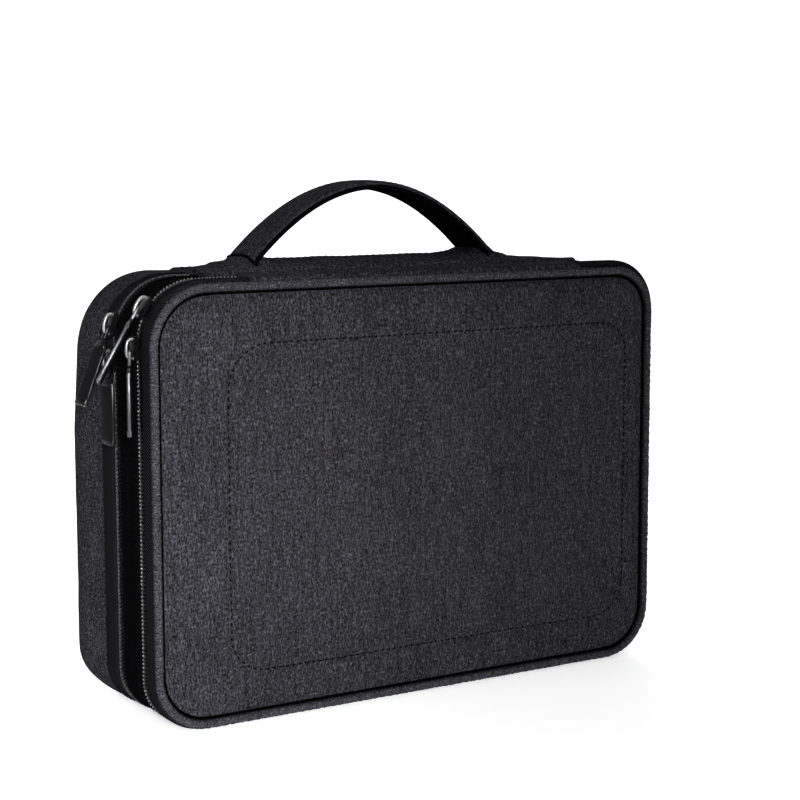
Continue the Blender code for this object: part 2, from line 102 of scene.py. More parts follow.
class Finish:
    """A material being built from nodes."""

    def __init__(self, name):
        self.material = bpy.data.materials.new(name)
        self.material.use_nodes = True
        self.tree = self.material.node_tree
        self.surface = self.tree.nodes["Principled BSDF"]

    def feed(self, socket, value):
        """Give a socket a plain value, or link it to another node's output."""
        if isinstance(value, bpy.types.NodeSocket):
            self.tree.links.new(value, socket)
        else:
            socket.default_value = value

    def node(self, kind, inputs=None, **settings):
        made = self.tree.nodes.new("ShaderNode" + kind)
        for key, value in settings.items():
            setattr(made, key, value)
        for key, value in (inputs or {}).items():
            self.feed(made.inputs[key], value)
        return made

    def set(self, **values):
        for key, value in values.items():
            self.feed(self.surface.inputs[key.replace("_", " ")], value)

    def cloth(self, across, along, offset=0.0):
        """The cloth's own coordinates in metres, divided by a length each way."""
        uv = self.node("UVMap", uv_map="cloth").outputs[0]
        scale = (1 / across, 1 / along, 1)
        return self.node(
            "Mapping", {"Vector": uv, "Scale": scale, "Location": (offset, offset, offset)}
        ).outputs[0]

    def noise(self, across, along, detail=2.0, roughness=0.5, offset=0.0):
        vector = self.cloth(across, along, offset)
        return self.node(
            "TexNoise", {"Vector": vector, "Scale": 1.0, "Detail": detail, "Roughness": roughness}
        ).outputs["Fac"]

    def ramp(self, value, low, high):
        made = self.node("MapRange", {"Value": value, "From Min": low, "From Max": high})
        made.interpolation_type = "SMOOTHSTEP"
        return made.outputs[0]

    def spread(self, value, low, high):
        """A value from 0 to 1, spread from low to high."""
        return self.node("MapRange", {"Value": value, "To Min": low, "To Max": high}).outputs[0]

    def mix(self, factor, first, second):
        made = self.node("Mix", data_type="RGBA")
        for k, value in ((0, factor), (6, first), (7, second)):
            self.feed(made.inputs[k], (*value, 1) if isinstance(value, tuple) else value)
        return made.outputs[2]

    def math(self, operation, *values):
        made = self.node("Math", operation=operation)
        for socket, value in zip(made.inputs, values):
            self.feed(socket, value)
        return made.outputs[0]

    def wave(self, vector, u, v):
        """A sine from 0 to 1 whose crests cross the cloth at a slant."""
        parts = self.node("SeparateXYZ", {"Vector": vector})
        sum_ = self.math(
            "ADD", self.math("MULTIPLY", parts.outputs[0], u),
            self.math("MULTIPLY", parts.outputs[1], v),
        )
        turn = self.math("SINE", self.math("MULTIPLY", sum_, 2 * math.pi))
        return self.math("MULTIPLY_ADD", turn, 0.5, 0.5)

    def bump(self, height, distance, strength=1.0, under=None):
        inputs = {"Height": height, "Distance": distance, "Strength": strength}
        if under is not None:
            inputs["Normal"] = under
        normal = self.node("Bump", inputs).outputs[0]
        self.tree.links.new(normal, self.surface.inputs["Normal"])
        return normal


def melange(name, dark, light, streak=1.0, contrast=1.0, grain=1.0, lit=None):
    """Oxford fabric of dark and pale yarn, mixed in specks and streaks along one thread."""
    m = Finish(name)
    yarns = (
        (m.noise(0.72 * MM * grain, 1.15 * MM * streak, 1, 0.5, 7), 0.54),
        (m.noise(0.6 * MM * grain, 5 * MM * streak, 1, 0.5), 0.28),
        (m.noise(1.5 * MM * grain, 26 * MM * streak, 2, 0.5, 3), 0.18),
    )
    total = 0.0
    for value, share in yarns:
        total = m.math("MULTIPLY_ADD", value, share, total)
    half = 0.17 / contrast
    mixed = m.node("MapRange", {"Value": total, "From Min": 0.5 - half, "From Max": 0.5 + half}).outputs[0]
    level = m.math("POWER", mixed, 1.9)
    fleck = m.ramp(m.noise(0.8 * MM * grain, 2.2 * MM * streak, 0, 0.5, 11), 0.66, 0.78)
    level = m.math("MULTIPLY_ADD", fleck, 0.8, level)
    cloud = m.ramp(m.noise(34 * MM, 46 * MM, 2, 0.5, 3), 0.2, 0.8)
    level = m.math("MULTIPLY", level, m.math("MULTIPLY_ADD", cloud, 0.25, 0.85))
    if lit:
        # painted light and shade: pale along the cord's middle and dark towards the seams, so that the cord
        # looks round
        middle, half_ = lit
        uv = m.node("UVMap", uv_map="cloth").outputs[0]
        round_ = m.node("SeparateXYZ", {"Vector": uv}).outputs[1]
        away = m.math("DIVIDE", m.math("ABSOLUTE", m.math("SUBTRACT", round_, middle)), half_)
        level = m.math("MULTIPLY", level, m.math("SUBTRACT", 1.0, m.ramp(away, 0.25, 1.15)))
    grid = m.cloth(0.8 * MM, 0.8 * MM)
    weave = m.math("MULTIPLY", m.wave(grid, 1.0, 0), m.wave(grid, 0, 1.0))
    first = m.bump(weave, 0.10 * MM, 0.5)
    m.bump(mixed, 0.14 * MM, 0.6, first)
    rough = m.spread(mixed, 0.86, 0.98)
    m.set(Base_Color=m.mix(level, dark, light), Roughness=rough, Specular_IOR_Level=0.0)
    return m.material


def twill(name, dark, light, pitch=1.1 * MM, slant=0.8, gloss=0.0):
    """Black tape with a fine diagonal rib."""
    m = Finish(name)
    grid = m.cloth(pitch, pitch)
    rib = m.wave(grid, 1.0, slant)
    soft = m.noise(5 * MM, 5 * MM, 2, 0.5)
    colour = m.mix(m.ramp(rib, 0.2, 0.9), dark, light)
    m.bump(rib, 0.16 * MM, 0.8)
    rough = m.spread(soft, 0.6, 0.85)
    m.set(Base_Color=colour, Roughness=rough, Specular_IOR_Level=gloss)
    return m.material


def brushed(name, dark, light, pile=0.5 * MM):
    """Soft lining with a short pile and faint shading."""
    m = Finish(name)
    pile_noise = m.noise(pile, pile, 3, 0.7)
    cloud = m.noise(18 * MM, 24 * MM, 3, 0.55)
    colour = m.mix(m.ramp(cloud, 0.25, 0.75), dark, light)
    colour = m.mix(m.ramp(pile_noise, 0.35, 0.8), colour, light)
    m.bump(pile_noise, 0.15 * MM, 0.7)
    rough = m.spread(cloud, 0.85, 1.0)
    m.set(Base_Color=colour, Roughness=rough, Sheen_Weight=0.4, Sheen_Roughness=0.6)
    return m.material


def ribbed(name, dark, light, pitch=0.9 * MM):
    """Woven elastic with ribs across its width and a slight yarn noise."""
    m = Finish(name)
    rib = m.wave(m.cloth(pitch, pitch), 1.0, 0.0)
    yarn = m.noise(0.6 * MM, 2.5 * MM, 2, 0.6)
    colour = m.mix(rib, dark, light)
    colour = m.mix(m.ramp(yarn, 0.5, 0.8), colour, dark)
    m.bump(rib, 0.2 * MM, 0.8)
    rough = m.spread(yarn, 0.7, 0.9)
    m.set(Base_Color=colour, Roughness=rough, Sheen_Weight=0.2)
    return m.material


def netting(name, colour, pitch=2.3 * MM):
    """Pocket mesh with round holes in staggered rows."""
    m = Finish(name)
    grid = m.cloth(pitch, pitch)
    holes = m.math("MULTIPLY", m.wave(grid, 1.0, 0.58), m.wave(grid, 1.0, -0.58))
    thread = m.noise(0.4 * MM, 0.4 * MM, 2, 0.6)
    tone = m.mix(thread, tuple(c * 0.7 for c in colour), colour)
    solid = m.math("SUBTRACT", 1.0, m.ramp(holes, 0.34, 0.46))
    m.bump(holes, 0.15 * MM, 0.6)
    m.set(Base_Color=tone, Roughness=m.spread(thread, 0.6, 0.8), Alpha=solid)
    return m.material


def plastic(name, dark, light, low=0.22, high=0.4, scale=1.2 * MM, gloss=0.5):
    """Thread, lacquer or rubber with small changes in gloss."""
    m = Finish(name)
    grain = m.noise(scale, scale, 3, 0.6)
    colour = m.mix(m.ramp(grain, 0.3, 0.75), dark, light)
    m.bump(grain, 0.05 * MM, 0.5)
    rough = m.node("MapRange", {"Value": grain, "To Min": low, "To Max": high}).outputs[0]
    m.set(Base_Color=colour, Roughness=rough, Specular_IOR_Level=gloss)
    return m.material


def coil(name, dark, light):
    """Nylon coil, black, with a painted highlight on its heads; the second cloth coordinate runs along a
    tooth.
    """
    m = Finish(name)
    uv = m.node("UVMap", uv_map="cloth").outputs[0]
    reach = m.node("SeparateXYZ", {"Vector": uv}).outputs[1]
    glint_and_grain = m.noise(1.1 * MM, 0.4, 2, 0.6)
    # painted highlight: the heads turn pale in patches; the same noise also roughens and bumps the nylon
    head = m.math("MULTIPLY", m.ramp(reach, 0.74, 0.9), m.ramp(glint_and_grain, 0.2, 0.55))
    m.bump(glint_and_grain, 0.03 * MM, 0.4)
    rough = m.spread(glint_and_grain, 0.2, 0.4)
    m.set(Base_Color=m.mix(head, dark, light), Roughness=rough, Specular_IOR_Level=0.12)
    return m.material


def plated(name, dark, light, low=0.18, high=0.42):
    """Gunmetal plating, rubbed brighter in streaks."""
    m = Finish(name)
    streak = m.noise(0.5 * MM, 6 * MM, 3, 0.6)
    spots = m.noise(2.2 * MM, 2.2 * MM, 2, 0.5, 5)
    colour = m.mix(m.ramp(streak, 0.35, 0.75), dark, light)
    m.bump(streak, 0.03 * MM, 0.4)
    rough = m.node("MapRange", {"Value": spots, "To Min": low, "To Max": high}).outputs[0]
    m.set(Base_Color=colour, Roughness=rough, Metallic=1.0)
    return m.material


FABRIC = melange("melange_oxford", (0.0050, 0.0048, 0.0060), (0.073, 0.0705, 0.083))
# the same oxford made darker as painted shade, for the gusset, back, spine, hinge, foot patches and handle
FABRIC_SHADED = melange("melange_oxford_shaded", (0.0045, 0.0043, 0.0055), (0.060, 0.058, 0.069), 0.8, 1.0, 1.2)
# the piping's oxford, with painted light along the cord's front and painted shade towards its seams
PIPING_FABRIC = melange("melange_piping", (0.005, 0.0048, 0.006), (0.115, 0.111, 0.132), 0.5, 0.8, 1.0,
                        mm(9.6, 3.1))
TAPE = twill("black_twill", (0.0008, 0.0008, 0.0010), (0.017, 0.0163, 0.0195), 1.3 * MM, 0.9)
BAND = twill("black_band", (0.0010, 0.0010, 0.0011), (0.0035, 0.0035, 0.004), 0.8 * MM, 0.0)
# painted shadow for grooves and slits
SEAM_SHADOW = twill("seam_shadow", (0.0006, 0.0006, 0.0006), (0.0015, 0.0015, 0.0015), 0.6 * MM, 1.5)
THREAD = plastic("black_thread", (0.0008, 0.0008, 0.0008), (0.003, 0.003, 0.003), 0.5, 0.7, 0.3 * MM, 0.02)
BLACK = (0.0010, 0.0010, 0.0011)
# one black coil with three strengths of painted highlight on its heads: bright on the front zip's front row,
# dim on the rear zip, and almost none on the front zip's back row, which is painted in shade
TEETH = coil("coil_front", BLACK, (0.42, 0.42, 0.43))
TEETH_DIM = coil("coil_rear", BLACK, (0.06, 0.06, 0.062))
TEETH_BLACK = coil("coil_shaded", BLACK, (0.008, 0.008, 0.008))
LINING = brushed("grey_lining", (0.30, 0.30, 0.315), (0.45, 0.45, 0.465))
PAD = brushed("grey_padding", (0.34, 0.34, 0.355), (0.50, 0.50, 0.515), 0.7 * MM)
ELASTIC = ribbed("pale_elastic", (0.42, 0.42, 0.43), (0.62, 0.62, 0.63))
NET = netting("pocket_mesh", (0.55, 0.56, 0.58))
METAL = plastic("black_lacquer", BLACK, (0.004, 0.004, 0.0043), 0.25, 0.4, 1.5 * MM, 0.025)
# rubbed metal on the pulls' rims: paler on the front pulls as painted highlight, darker on the rear pulls as
# painted shade
EDGE = plated("rubbed_edge_and_highlight", (0.07, 0.07, 0.073), (0.16, 0.16, 0.165), 0.36, 0.5)
EDGE_DIM = plated("worn_rim_and_shade", (0.02, 0.02, 0.021), (0.07, 0.07, 0.072), 0.25, 0.4)
BRIGHT = plated("rubbed_metal", (0.30, 0.30, 0.305), (0.52, 0.52, 0.53), 0.36, 0.5)
RUBBER = plastic("black_insert", (0.004, 0.004, 0.0048), (0.010, 0.010, 0.0115), 0.4, 0.55, 0.8 * MM, 0.004)
UNDERSIDE = twill("handle_underside", (0.0008, 0.0008, 0.0009), (0.003, 0.003, 0.0034), 0.9 * MM, 0)


# ---------------------------------------------------------------- mesh helpers

def finish_piece(piece, material, body, nodes=(), smooth=35):
    """Give a new piece its material or its two, smooth shading, body and CAD nodes."""
    materials = material if isinstance(material, tuple) else (material,)
    parts = [face.material_index % len(materials) for face in piece.data.polygons]
    piece.data.materials.clear()
    for one in materials:
        piece.data.materials.append(one)
    piece.data.polygons.foreach_set("material_index", parts)
    piece.data.shade_smooth()
    piece.data.set_sharp_from_angle(angle=math.radians(smooth))
    if body:
        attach(piece, body)
    if nodes:
        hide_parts(*nodes)
    return piece


def read(data, name, width):
    """A mesh attribute as rows of numbers."""
    values = np.empty(len(data) * width, np.float32)
    data.foreach_get(name, values)
    return values.reshape(-1, width)


def write(data, name, values):
    data.foreach_set(name, np.asarray(values, np.float32).ravel())


def link_mesh(name, mesh):
    piece = bpy.data.objects.new(name, mesh)
    bpy.context.scene.collection.objects.link(piece)
    return piece


def grid_mesh(name, points, u, v, wrap_u=False, wrap_v=False, caps=False):
    """A mesh through a grid of points, with cloth coordinates u down its rows and v along them."""
    rows, columns = points.shape[:2]
    index = np.arange(rows * columns).reshape(rows, columns)
    i = np.arange(rows if wrap_u else rows - 1)
    j = np.arange(columns if wrap_v else columns - 1)
    i, j = (a.ravel() for a in np.meshgrid(i, j, indexing="ij"))
    ni, nj = (i + 1) % rows, (j + 1) % columns
    quads = np.stack([index[i, j], index[ni, j], index[ni, nj], index[i, nj]], 1)
    u, v = np.asarray(u, float), np.asarray(v, float)
    if u.ndim == 1:
        u = np.repeat(u[:, None], columns, 1)
    if v.ndim == 1:
        v = np.repeat(v[None, :], rows, 0)
    step_u = np.abs(u[1] - u[0]).max()
    step_v = np.abs(v[:, 1] - v[:, 0]).max()
    far_u = np.where(ni == 0, u[i, j] + step_u, u[ni, j])
    far_v = np.where(nj == 0, v[i, j] + step_v, v[i, nj])
    loops = np.stack([u[i, j], v[i, j], far_u, v[i, j], far_u, far_v, u[i, j], far_v], 1)
    faces = quads.tolist()
    extra = []
    if caps:
        faces += [index[0].tolist(), index[-1].tolist()[::-1]]
        extra = [0.0] * (4 * columns)
    mesh = bpy.data.meshes.new(name)
    mesh.from_pydata(points.reshape(-1, 3).tolist(), [], faces)
    write(mesh.uv_layers.new(name="cloth").data, "uv", np.concatenate([loops.ravel(), extra]))
    mesh.update()
    return link_mesh(name, mesh)


def bars_mesh(name, points):
    """A mesh of closed bars through an array of points: bar, ring, place round the ring, XYZ."""
    count, rings, around = points.shape[:3]
    index = np.arange(rings * around).reshape(rings, around)
    beside = np.roll(index, -1, 1)
    sides = np.stack([index[:-1], beside[:-1], beside[1:], index[1:]], -1).reshape(-1, 4).tolist()
    faces = sides + [index[0, ::-1].tolist(), index[-1].tolist()]
    mesh = bpy.data.meshes.new(name)
    every = [[n * rings * around + v for v in face] for n in range(count) for face in faces]
    mesh.from_pydata(points.reshape(-1, 3).tolist(), [], every)
    mesh.update()
    return outward(link_mesh(name, mesh))


def outward(piece):
    """Turn a closed piece's faces out."""
    shape = bmesh.new()
    shape.from_mesh(piece.data)
    bmesh.ops.recalc_face_normals(shape, faces=shape.faces)
    shape.to_mesh(piece.data)
    shape.free()
    return piece


def cloth_map(piece):
    """Cloth coordinates in metres, straight on to each face's widest side."""
    mesh = piece.data
    layer = mesh.uv_layers.get("cloth") or mesh.uv_layers.new(name="cloth")
    for face in mesh.polygons:
        axis = max(range(3), key=lambda k: abs(face.normal[k]))
        a, b = ((1, 2), (0, 2), (0, 1))[axis]
        for loop in face.loop_indices:
            at = mesh.vertices[mesh.loops[loop].vertex_index].co
            layer.data[loop].uv = (at[a], at[b])
    return piece


def apply_modifiers(piece):
    depsgraph = bpy.context.evaluated_depsgraph_get()
    mesh = bpy.data.meshes.new_from_object(piece.evaluated_get(depsgraph))
    piece.modifiers.clear()
    piece.data = mesh
    return piece


def thicken(piece, thickness, offset=-1):
    """Give a sheet its thickness, behind it or on both sides."""
    back = piece.modifiers.new("back", "SOLIDIFY")
    back.thickness = thickness
    back.offset = offset
    return apply_modifiers(piece)


def turn_cloth(piece):
    """Swap the two ways of the cloth, so that its streaks run across."""
    layer = piece.data.uv_layers["cloth"].data
    write(layer, "uv", read(layer, "uv", 2)[:, ::-1])


def lengths_along(points):
    """The length from the first point of a line to each of its points."""
    return np.append(0, np.cumsum(np.linalg.norm(np.diff(points, axis=0), axis=1)))


def at_depth(flat, y):
    """Points from pairs of X and Z, at a depth."""
    return np.stack(np.broadcast_arrays(flat[..., 0], y, flat[..., 1]), -1)


def ripple(at, lengths, seed):
    """A smooth uneven wave from -1 to 1 along one coordinate."""
    draw = np.random.default_rng(seed)
    total = sum(np.sin(2 * np.pi * at / w * draw.uniform(0.85, 1.15) + draw.uniform(0, 6.28))
                for w in lengths for _ in range(2))
    return total / (1.4 * len(lengths))


def ripple2(x, z, size, seed, count=7):
    """A smooth uneven field from about -1 to 1 over two coordinates."""
    draw = np.random.default_rng(seed)
    total = 0
    for _ in range(count):
        angle, length = draw.uniform(0, math.pi), size * draw.uniform(0.6, 1.7)
        way = x * math.cos(angle) + z * math.sin(angle)
        total = total + np.sin(2 * np.pi * way / length + draw.uniform(0, 6.28))
    return total / math.sqrt(2 * count)


# ---------------------------------------------------------------- the outline

def outline_parts(shape):
    """The lines and arcs of an outline, from its top middle to the left, with their lengths."""
    half, low, high, top, foot = shape
    corners = ((-1, high - top, top, 90), (-1, low + foot, foot, 180), (1, low + foot, foot, 270),
               (1, high - top + TIGHTER, top - TIGHTER, 0))
    place, parts = np.array((0.0, high)), []
    for side, level, radius, start in corners:
        centre = np.array((side * (half - radius), level))
        ends = [centre + radius * np.round((math.cos(math.radians(a)), math.sin(math.radians(a))))
                for a in (start, start + 90)]
        parts.append((np.linalg.norm(ends[0] - place), place, ends[0], None))
        parts.append((radius * math.pi / 2, centre, radius, start))
        place = ends[1]
    last = np.array((0.0, high))
    return parts + [(np.linalg.norm(last - place), place, last, None)]


def rim(shape=SHAPE, step=0.25 * MM):
    """Points, outward normals and lengths round an outline; lengths are those on the main outline."""
    points, normals, lengths, start = [], [], [], 0.0
    for (length, *_), (_, a, b, angle) in zip(outline_parts(SHAPE), outline_parts(shape)):
        count = max(2, round(length / step))
        t = np.arange(count) / count
        if angle is None:
            way = (b - a) / np.linalg.norm(b - a)
            points.append(a + (b - a) * t[:, None])
            normals.append(np.repeat([[way[1], -way[0]]], count, 0))
        else:
            turn = np.radians(angle + 90 * t)
            out = np.stack([np.cos(turn), np.sin(turn)], 1)
            points.append(a + b * out)
            normals.append(out)
        lengths.append(start + length * t)
        start += length
    return np.concatenate(points), np.concatenate(normals), np.concatenate(lengths), start


RIM_POINTS, RIM_NORMALS, RIM_S, RIM_LENGTH = rim()


def inset_shape(inset, shape=SHAPE):
    """The outline drawn in by a distance all round."""
    half, low, high, top, foot = shape
    return half - inset, low + inset, high - inset, top - inset, foot - inset


def along(s, table=None):
    """Points and normals at lengths s round the outline."""
    points, normals, lengths, total = table or (RIM_POINTS, RIM_NORMALS, RIM_S, RIM_LENGTH)
    s = np.mod(s, total)
    at = [np.interp(s, np.append(lengths, total), np.append(c, c[0]))
          for c in (*points.T, *normals.T)]
    normal = np.stack(at[2:], -1)
    return np.stack(at[:2], -1), normal / np.linalg.norm(normal, axis=-1, keepdims=True)


def length_at_top(x):
    """The length round the outline of a place on its top edge."""
    return -x if x <= 0 else RIM_LENGTH - x


def sweep(name, section, step, ends=None, move=None, table=None):
    """A piece with a closed cross-section of (rise, depth) pairs that follows the outline."""
    total = (table or (0, 0, 0, RIM_LENGTH))[3]
    s0, s1 = ends or (0, total)
    count = max(3, round((s1 - s0) / step))
    s = np.linspace(s0, s1, count, endpoint=bool(ends))
    at, out = along(s, table)
    section = np.array(section, float)
    rise = np.repeat(section[None, :, 0], count, 0)
    depth = np.repeat(section[None, :, 1], count, 0)
    if move:
        rise, depth = move(s[:, None], rise, depth)
    flat = at[:, None, :] + out[:, None, :] * rise[..., None]
    # flat where it rests on the floor
    points = np.stack([flat[..., 0], depth, np.maximum(flat[..., 1], 0)], -1)
    v = lengths_along(section)
    return outward(grid_mesh(name, points, s, v, not ends, True, bool(ends)))


def band_section(y0, y1, top, thick, bulge=0.0, steps=36, square=0.32, square_up=None):
    """A flat cross-section with rounded edges, its outer side bulged."""
    middle, half = (y0 + y1) / 2, (y1 - y0) / 2
    points = []
    for k in range(steps):
        turn = 2 * math.pi * k / steps
        c, s = math.cos(turn), math.sin(turn)
        across = math.copysign(abs(c) ** square, c)
        up = math.copysign(abs(s) ** (square_up or square), s)
        rise = top - thick / 2 + up * thick / 2
        if s > 0:
            rise += bulge * (1 - across * across)
        points.append((rise, middle + half * across))
    return points


def round_section(rise, depth, radius, steps=14):
    turns = [2 * math.pi * k / steps for k in range(steps)]
    return [(rise + radius * math.cos(a), depth + radius * math.sin(a)) for a in turns]


def depths(node):
    low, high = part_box(node)
    return low.y, high.y


def round_bar(name, points, side, up, radius, sides=10):
    """A round bar through points, with closed ends; side and up are the ways across it."""
    turns = np.arange(sides) / sides * 2 * np.pi
    side, up = (np.broadcast_to(np.asarray(way, float), points.shape)[:, None] for way in (side, up))
    across, rise = np.cos(turns)[None, :, None], np.sin(turns)[None, :, None]
    ring = points[:, None] + radius * (side * across + up * rise)
    s = lengths_along(points)
    return outward(grid_mesh(name, ring, s, turns * radius, False, True, True))


# ---------------------------------------------------------------- padded panels

def panel_grid(shape, step):
    """Rows of points across a rounded rectangle."""
    half, low, high, top, foot = shape
    arcs = 9
    rows = [low + foot - foot * math.cos(a) for a in np.linspace(0, math.pi / 2, arcs)]
    rows += list(np.linspace(low + foot, high - top, round((high - low - top - foot) / step) + 1)[1:-1])
    rows += [high - top + top * math.sin(a) for a in np.linspace(0, math.pi / 2, arcs)]
    rows = np.array(rows)

    def width(top_radius):
        upper = np.clip((rows - (high - top_radius)) / top_radius, 0, 1)
        lower = np.clip((low + foot - rows) / foot, 0, 1)
        return half - top_radius * (1 - np.sqrt(1 - upper ** 2)) - foot * (1 - np.sqrt(1 - lower ** 2))

    u = np.linspace(-1, 1, round(2 * half / step) + 1)
    x = np.where(u < 0, width(top)[:, None], width(top - TIGHTER)[:, None]) * u
    return x, np.repeat(rows[:, None], len(u), 1)


def edge_distance(x, z, shape):
    """How far inside a rounded rectangle each point is."""
    half, low, high, top, foot = shape
    radius = np.where(z > (low + high) / 2, np.where(x > 0, top - TIGHTER, top), foot)
    dx = np.abs(x) - (half - radius)
    dz = np.maximum(z - (high - radius), (low + radius) - z)
    outside = np.hypot(np.maximum(dx, 0), np.maximum(dz, 0))
    return radius - outside - np.minimum(np.maximum(dx, dz), 0)


def quilt_distance(x, z):
    """How far inside the quilted rectangle each point is."""
    return edge_distance(x - QUILT_MIDDLE, z, QUILT_SHAPE)


def simulate(piece, pinned, cap):
    """Let pressure fill a pinned sheet, and keep each point within cap of its start."""
    frames = 20
    group = piece.vertex_groups.new(name="pin")
    group.add([int(k) for k in np.flatnonzero(pinned)], 1.0, "REPLACE")
    rest = read(piece.data.vertices, "co", 3).astype(float)
    cloth = piece.modifiers.new("fill", "CLOTH")
    cloth.point_cache.frame_start = 1
    cloth.point_cache.frame_end = frames
    s = cloth.settings
    s.quality = 6
    s.mass = 0.3
    s.tension_stiffness = s.compression_stiffness = 12
    s.shear_stiffness = 4
    s.bending_stiffness = 0.4
    s.use_pressure = True
    s.uniform_pressure_force = 4.0
    s.vertex_group_mass = "pin"
    s.shrink_min = -0.02
    s.effector_weights.gravity = 0
    cloth.collision_settings.use_collision = False
    for k in range(1, frames + 1):
        bpy.context.scene.frame_set(k)
    shape = piece.evaluated_get(bpy.context.evaluated_depsgraph_get()).data
    move = read(shape.vertices, "co", 3).astype(float) - rest
    size = np.linalg.norm(move, axis=1, keepdims=True)
    move *= np.minimum(1, cap / np.maximum(size, 1e-9))
    piece.modifiers.clear()
    write(piece.data.vertices, "co", rest + move)
    piece.data.update()
    bpy.context.scene.frame_set(1)


def padded_panel(name, shape, edge_y, flat_y, roll, material, body, nodes, cap, step=4 * MM, seed=1,
                 quilted=False):
    """A padded sheet that rolls down to a seam all round, its face towards flat_y."""
    x, z = panel_grid(shape, step)
    inside = edge_distance(x, z, shape)
    share = np.clip(inside / roll, 0, 1)
    y = edge_y + (flat_y - edge_y) * (1 - (1 - share) ** 2.4)
    face = math.copysign(1, flat_y - edge_y)
    y = y + face * 0.25 * MM * ripple2(x, z, 60 * MM, seed) * share
    points = np.stack([x, y, z], -1)
    if face > 0:
        points = points[:, ::-1]
    piece = grid_mesh(name, points, points[:, 0, 2], points[0, :, 0])
    # the cloth's own coordinates run across and up the panel
    corner = [loop.vertex_index for loop in piece.data.loops]
    write(piece.data.uv_layers["cloth"].data, "uv", read(piece.data.vertices, "co", 3)[corner][:, [0, 2]])
    held = inside < roll * 0.45
    if quilted:
        held |= np.abs(quilt_distance(x, z)) < step * 0.5
    simulate(piece, (held[:, ::-1] if face > 0 else held).ravel(), cap)
    fine = piece.modifiers.new("fine", "SUBSURF")
    fine.levels = fine.render_levels = 2
    fine.boundary_smooth = "PRESERVE_CORNERS"
    apply_modifiers(piece)
    if quilted:
        at = read(piece.data.vertices, "co", 3)
        near = quilt_distance(at[:, 0].astype(float), at[:, 2].astype(float))
        at[:, 1] -= face * 0.55 * MM * np.exp(-((near / (1.1 * MM)) ** 2))
        write(piece.data.vertices, "co", at)
    thicken(piece, 0.9 * MM)
    finish_piece(piece, material, body, nodes)
    return piece


# ---------------------------------------------------------------- stitches

def stitches(name, path, normals, body, length=2.6 * MM, gap=1.1 * MM, radius=0.14 * MM,
             closed=False, material=THREAD, slot=None):
    """Short thread capsules that dip into the cloth at their ends, along a path of points."""
    path = np.asarray(path, float)
    normals = np.broadcast_to(np.asarray(normals, float), path.shape)
    if closed:
        path, normals = np.vstack([path, path[:1]]), np.vstack([normals, normals[:1]])
    s = lengths_along(path)
    starts = np.arange(0, s[-1] - length * (0 if closed else 1), length + gap)

    def at(lengths, values):
        return np.stack([np.interp(lengths, s, values[:, k]) for k in range(3)], -1)

    rings, around = 5, 6
    turns = np.arange(around) / around * 2 * np.pi
    t = np.linspace(0, 1, rings)
    lift = radius * (1.2 * np.sin(np.pi * t) - 0.8)
    wide = radius * (0.55 + 0.45 * np.sin(np.pi * t))
    threads = []
    for start in starts:
        middle = at(start + t * length, path)
        up = at(start + t * length, normals)
        up /= np.linalg.norm(up, axis=1, keepdims=True)
        way = middle[-1] - middle[0]
        way /= np.linalg.norm(way)
        side = np.cross(up, way)
        threads.append((middle + up * lift[:, None])[:, None] + wide[:, None, None] * (
            side[:, None] * np.cos(turns)[None, :, None] + up[:, None] * np.sin(turns)[None, :, None]
        ))
    return finish_piece(cloth_map(bars_mesh(name, np.array(threads))), material, body)


def quilt_path(y):
    """Points round the quilted rectangle at a depth."""
    xz = rim(QUILT_SHAPE, 1.0 * MM)[0] + [QUILT_MIDDLE, 0]
    return at_depth(xz, y)


def on_surface(piece, path, way):
    """The path moved along way on to the piece's surface."""
    depsgraph = bpy.context.evaluated_depsgraph_get()
    found = []
    source = piece.evaluated_get(depsgraph)
    back = source.matrix_world.inverted()
    way = Vector(way)
    for point in path:
        start = Vector(point) - way * 0.02
        hit, place, *_ = source.ray_cast(back @ start, way)
        found.append(tuple(place) if hit else tuple(point))
    return np.array(found)


def sew(name, cloth, path, out, body, **sizes):
    """Stitches on a cloth, under a path that lies outside it."""
    stitches(name, on_surface(cloth, path, [-c for c in out]), out, body, **sizes)


# ---------------------------------------------------------------- zips

# each ring of a tooth: how far along its reach, its size and its rise over the tape
HEADS = ((0.0, 0.3, -0.7), (0.2, 0.55, -0.6), (0.6, 0.6, -0.5), (0.76, 0.7, -0.3), (0.84, 1.0, 0.05),
         (0.94, 0.95, 0.05), (1.0, 0.4, 0.0))


def teeth(node, zip_y, side, ends, body, material, phase, drop):
    """One row of coil teeth, each a rounded bar that reaches across the zip's middle."""
    outer, past = 2.5 * MM, 0.35 * MM
    around = 8
    s = np.arange(ends[0] + TEETH_PITCH * (0.5 + phase), ends[1] - TEETH_PITCH * 0.4, TEETH_PITCH)
    at, out = along(s)
    tangent = np.stack([-out[:, 1], out[:, 0]], -1)
    turns = np.arange(around) / around * 2 * np.pi
    share, wide, lift = np.array(HEADS).T
    ring_y = zip_y + side * (outer - (outer + past) * share)
    across = (wide * 0.42 * MM)[:, None] * np.cos(turns)
    rise = (lift * MM - drop)[:, None] - 0.45 * MM + (wide * 0.55 * MM)[:, None] * np.sin(turns)
    flat = (at[:, None, None] + tangent[:, None, None] * across[None, ..., None]
            + out[:, None, None] * rise[None, ..., None])
    piece = bars_mesh("coil_" + node, at_depth(flat, ring_y[None, :, None]))
    corner = np.array([loop.vertex_index for loop in piece.data.loops])
    tooth, ring = corner // (len(share) * around), corner % (len(share) * around) // around
    write(piece.data.uv_layers.new(name="cloth").data, "uv", np.stack([s[tooth], share[ring]], 1))
    return finish_piece(piece, material, body, (node,))


def zip_tape(name, zip_y, side, reach, ends, body):
    """The woven tape that a row of teeth is sewn to."""
    near, far = zip_y + side * 0.4 * MM, zip_y + side * reach
    section = band_section(min(near, far), max(near, far), -1.25 * MM, 0.8 * MM, 0, 20)
    piece = sweep(name, section, 3 * MM, ends)
    return finish_piece(piece, TAPE, body)


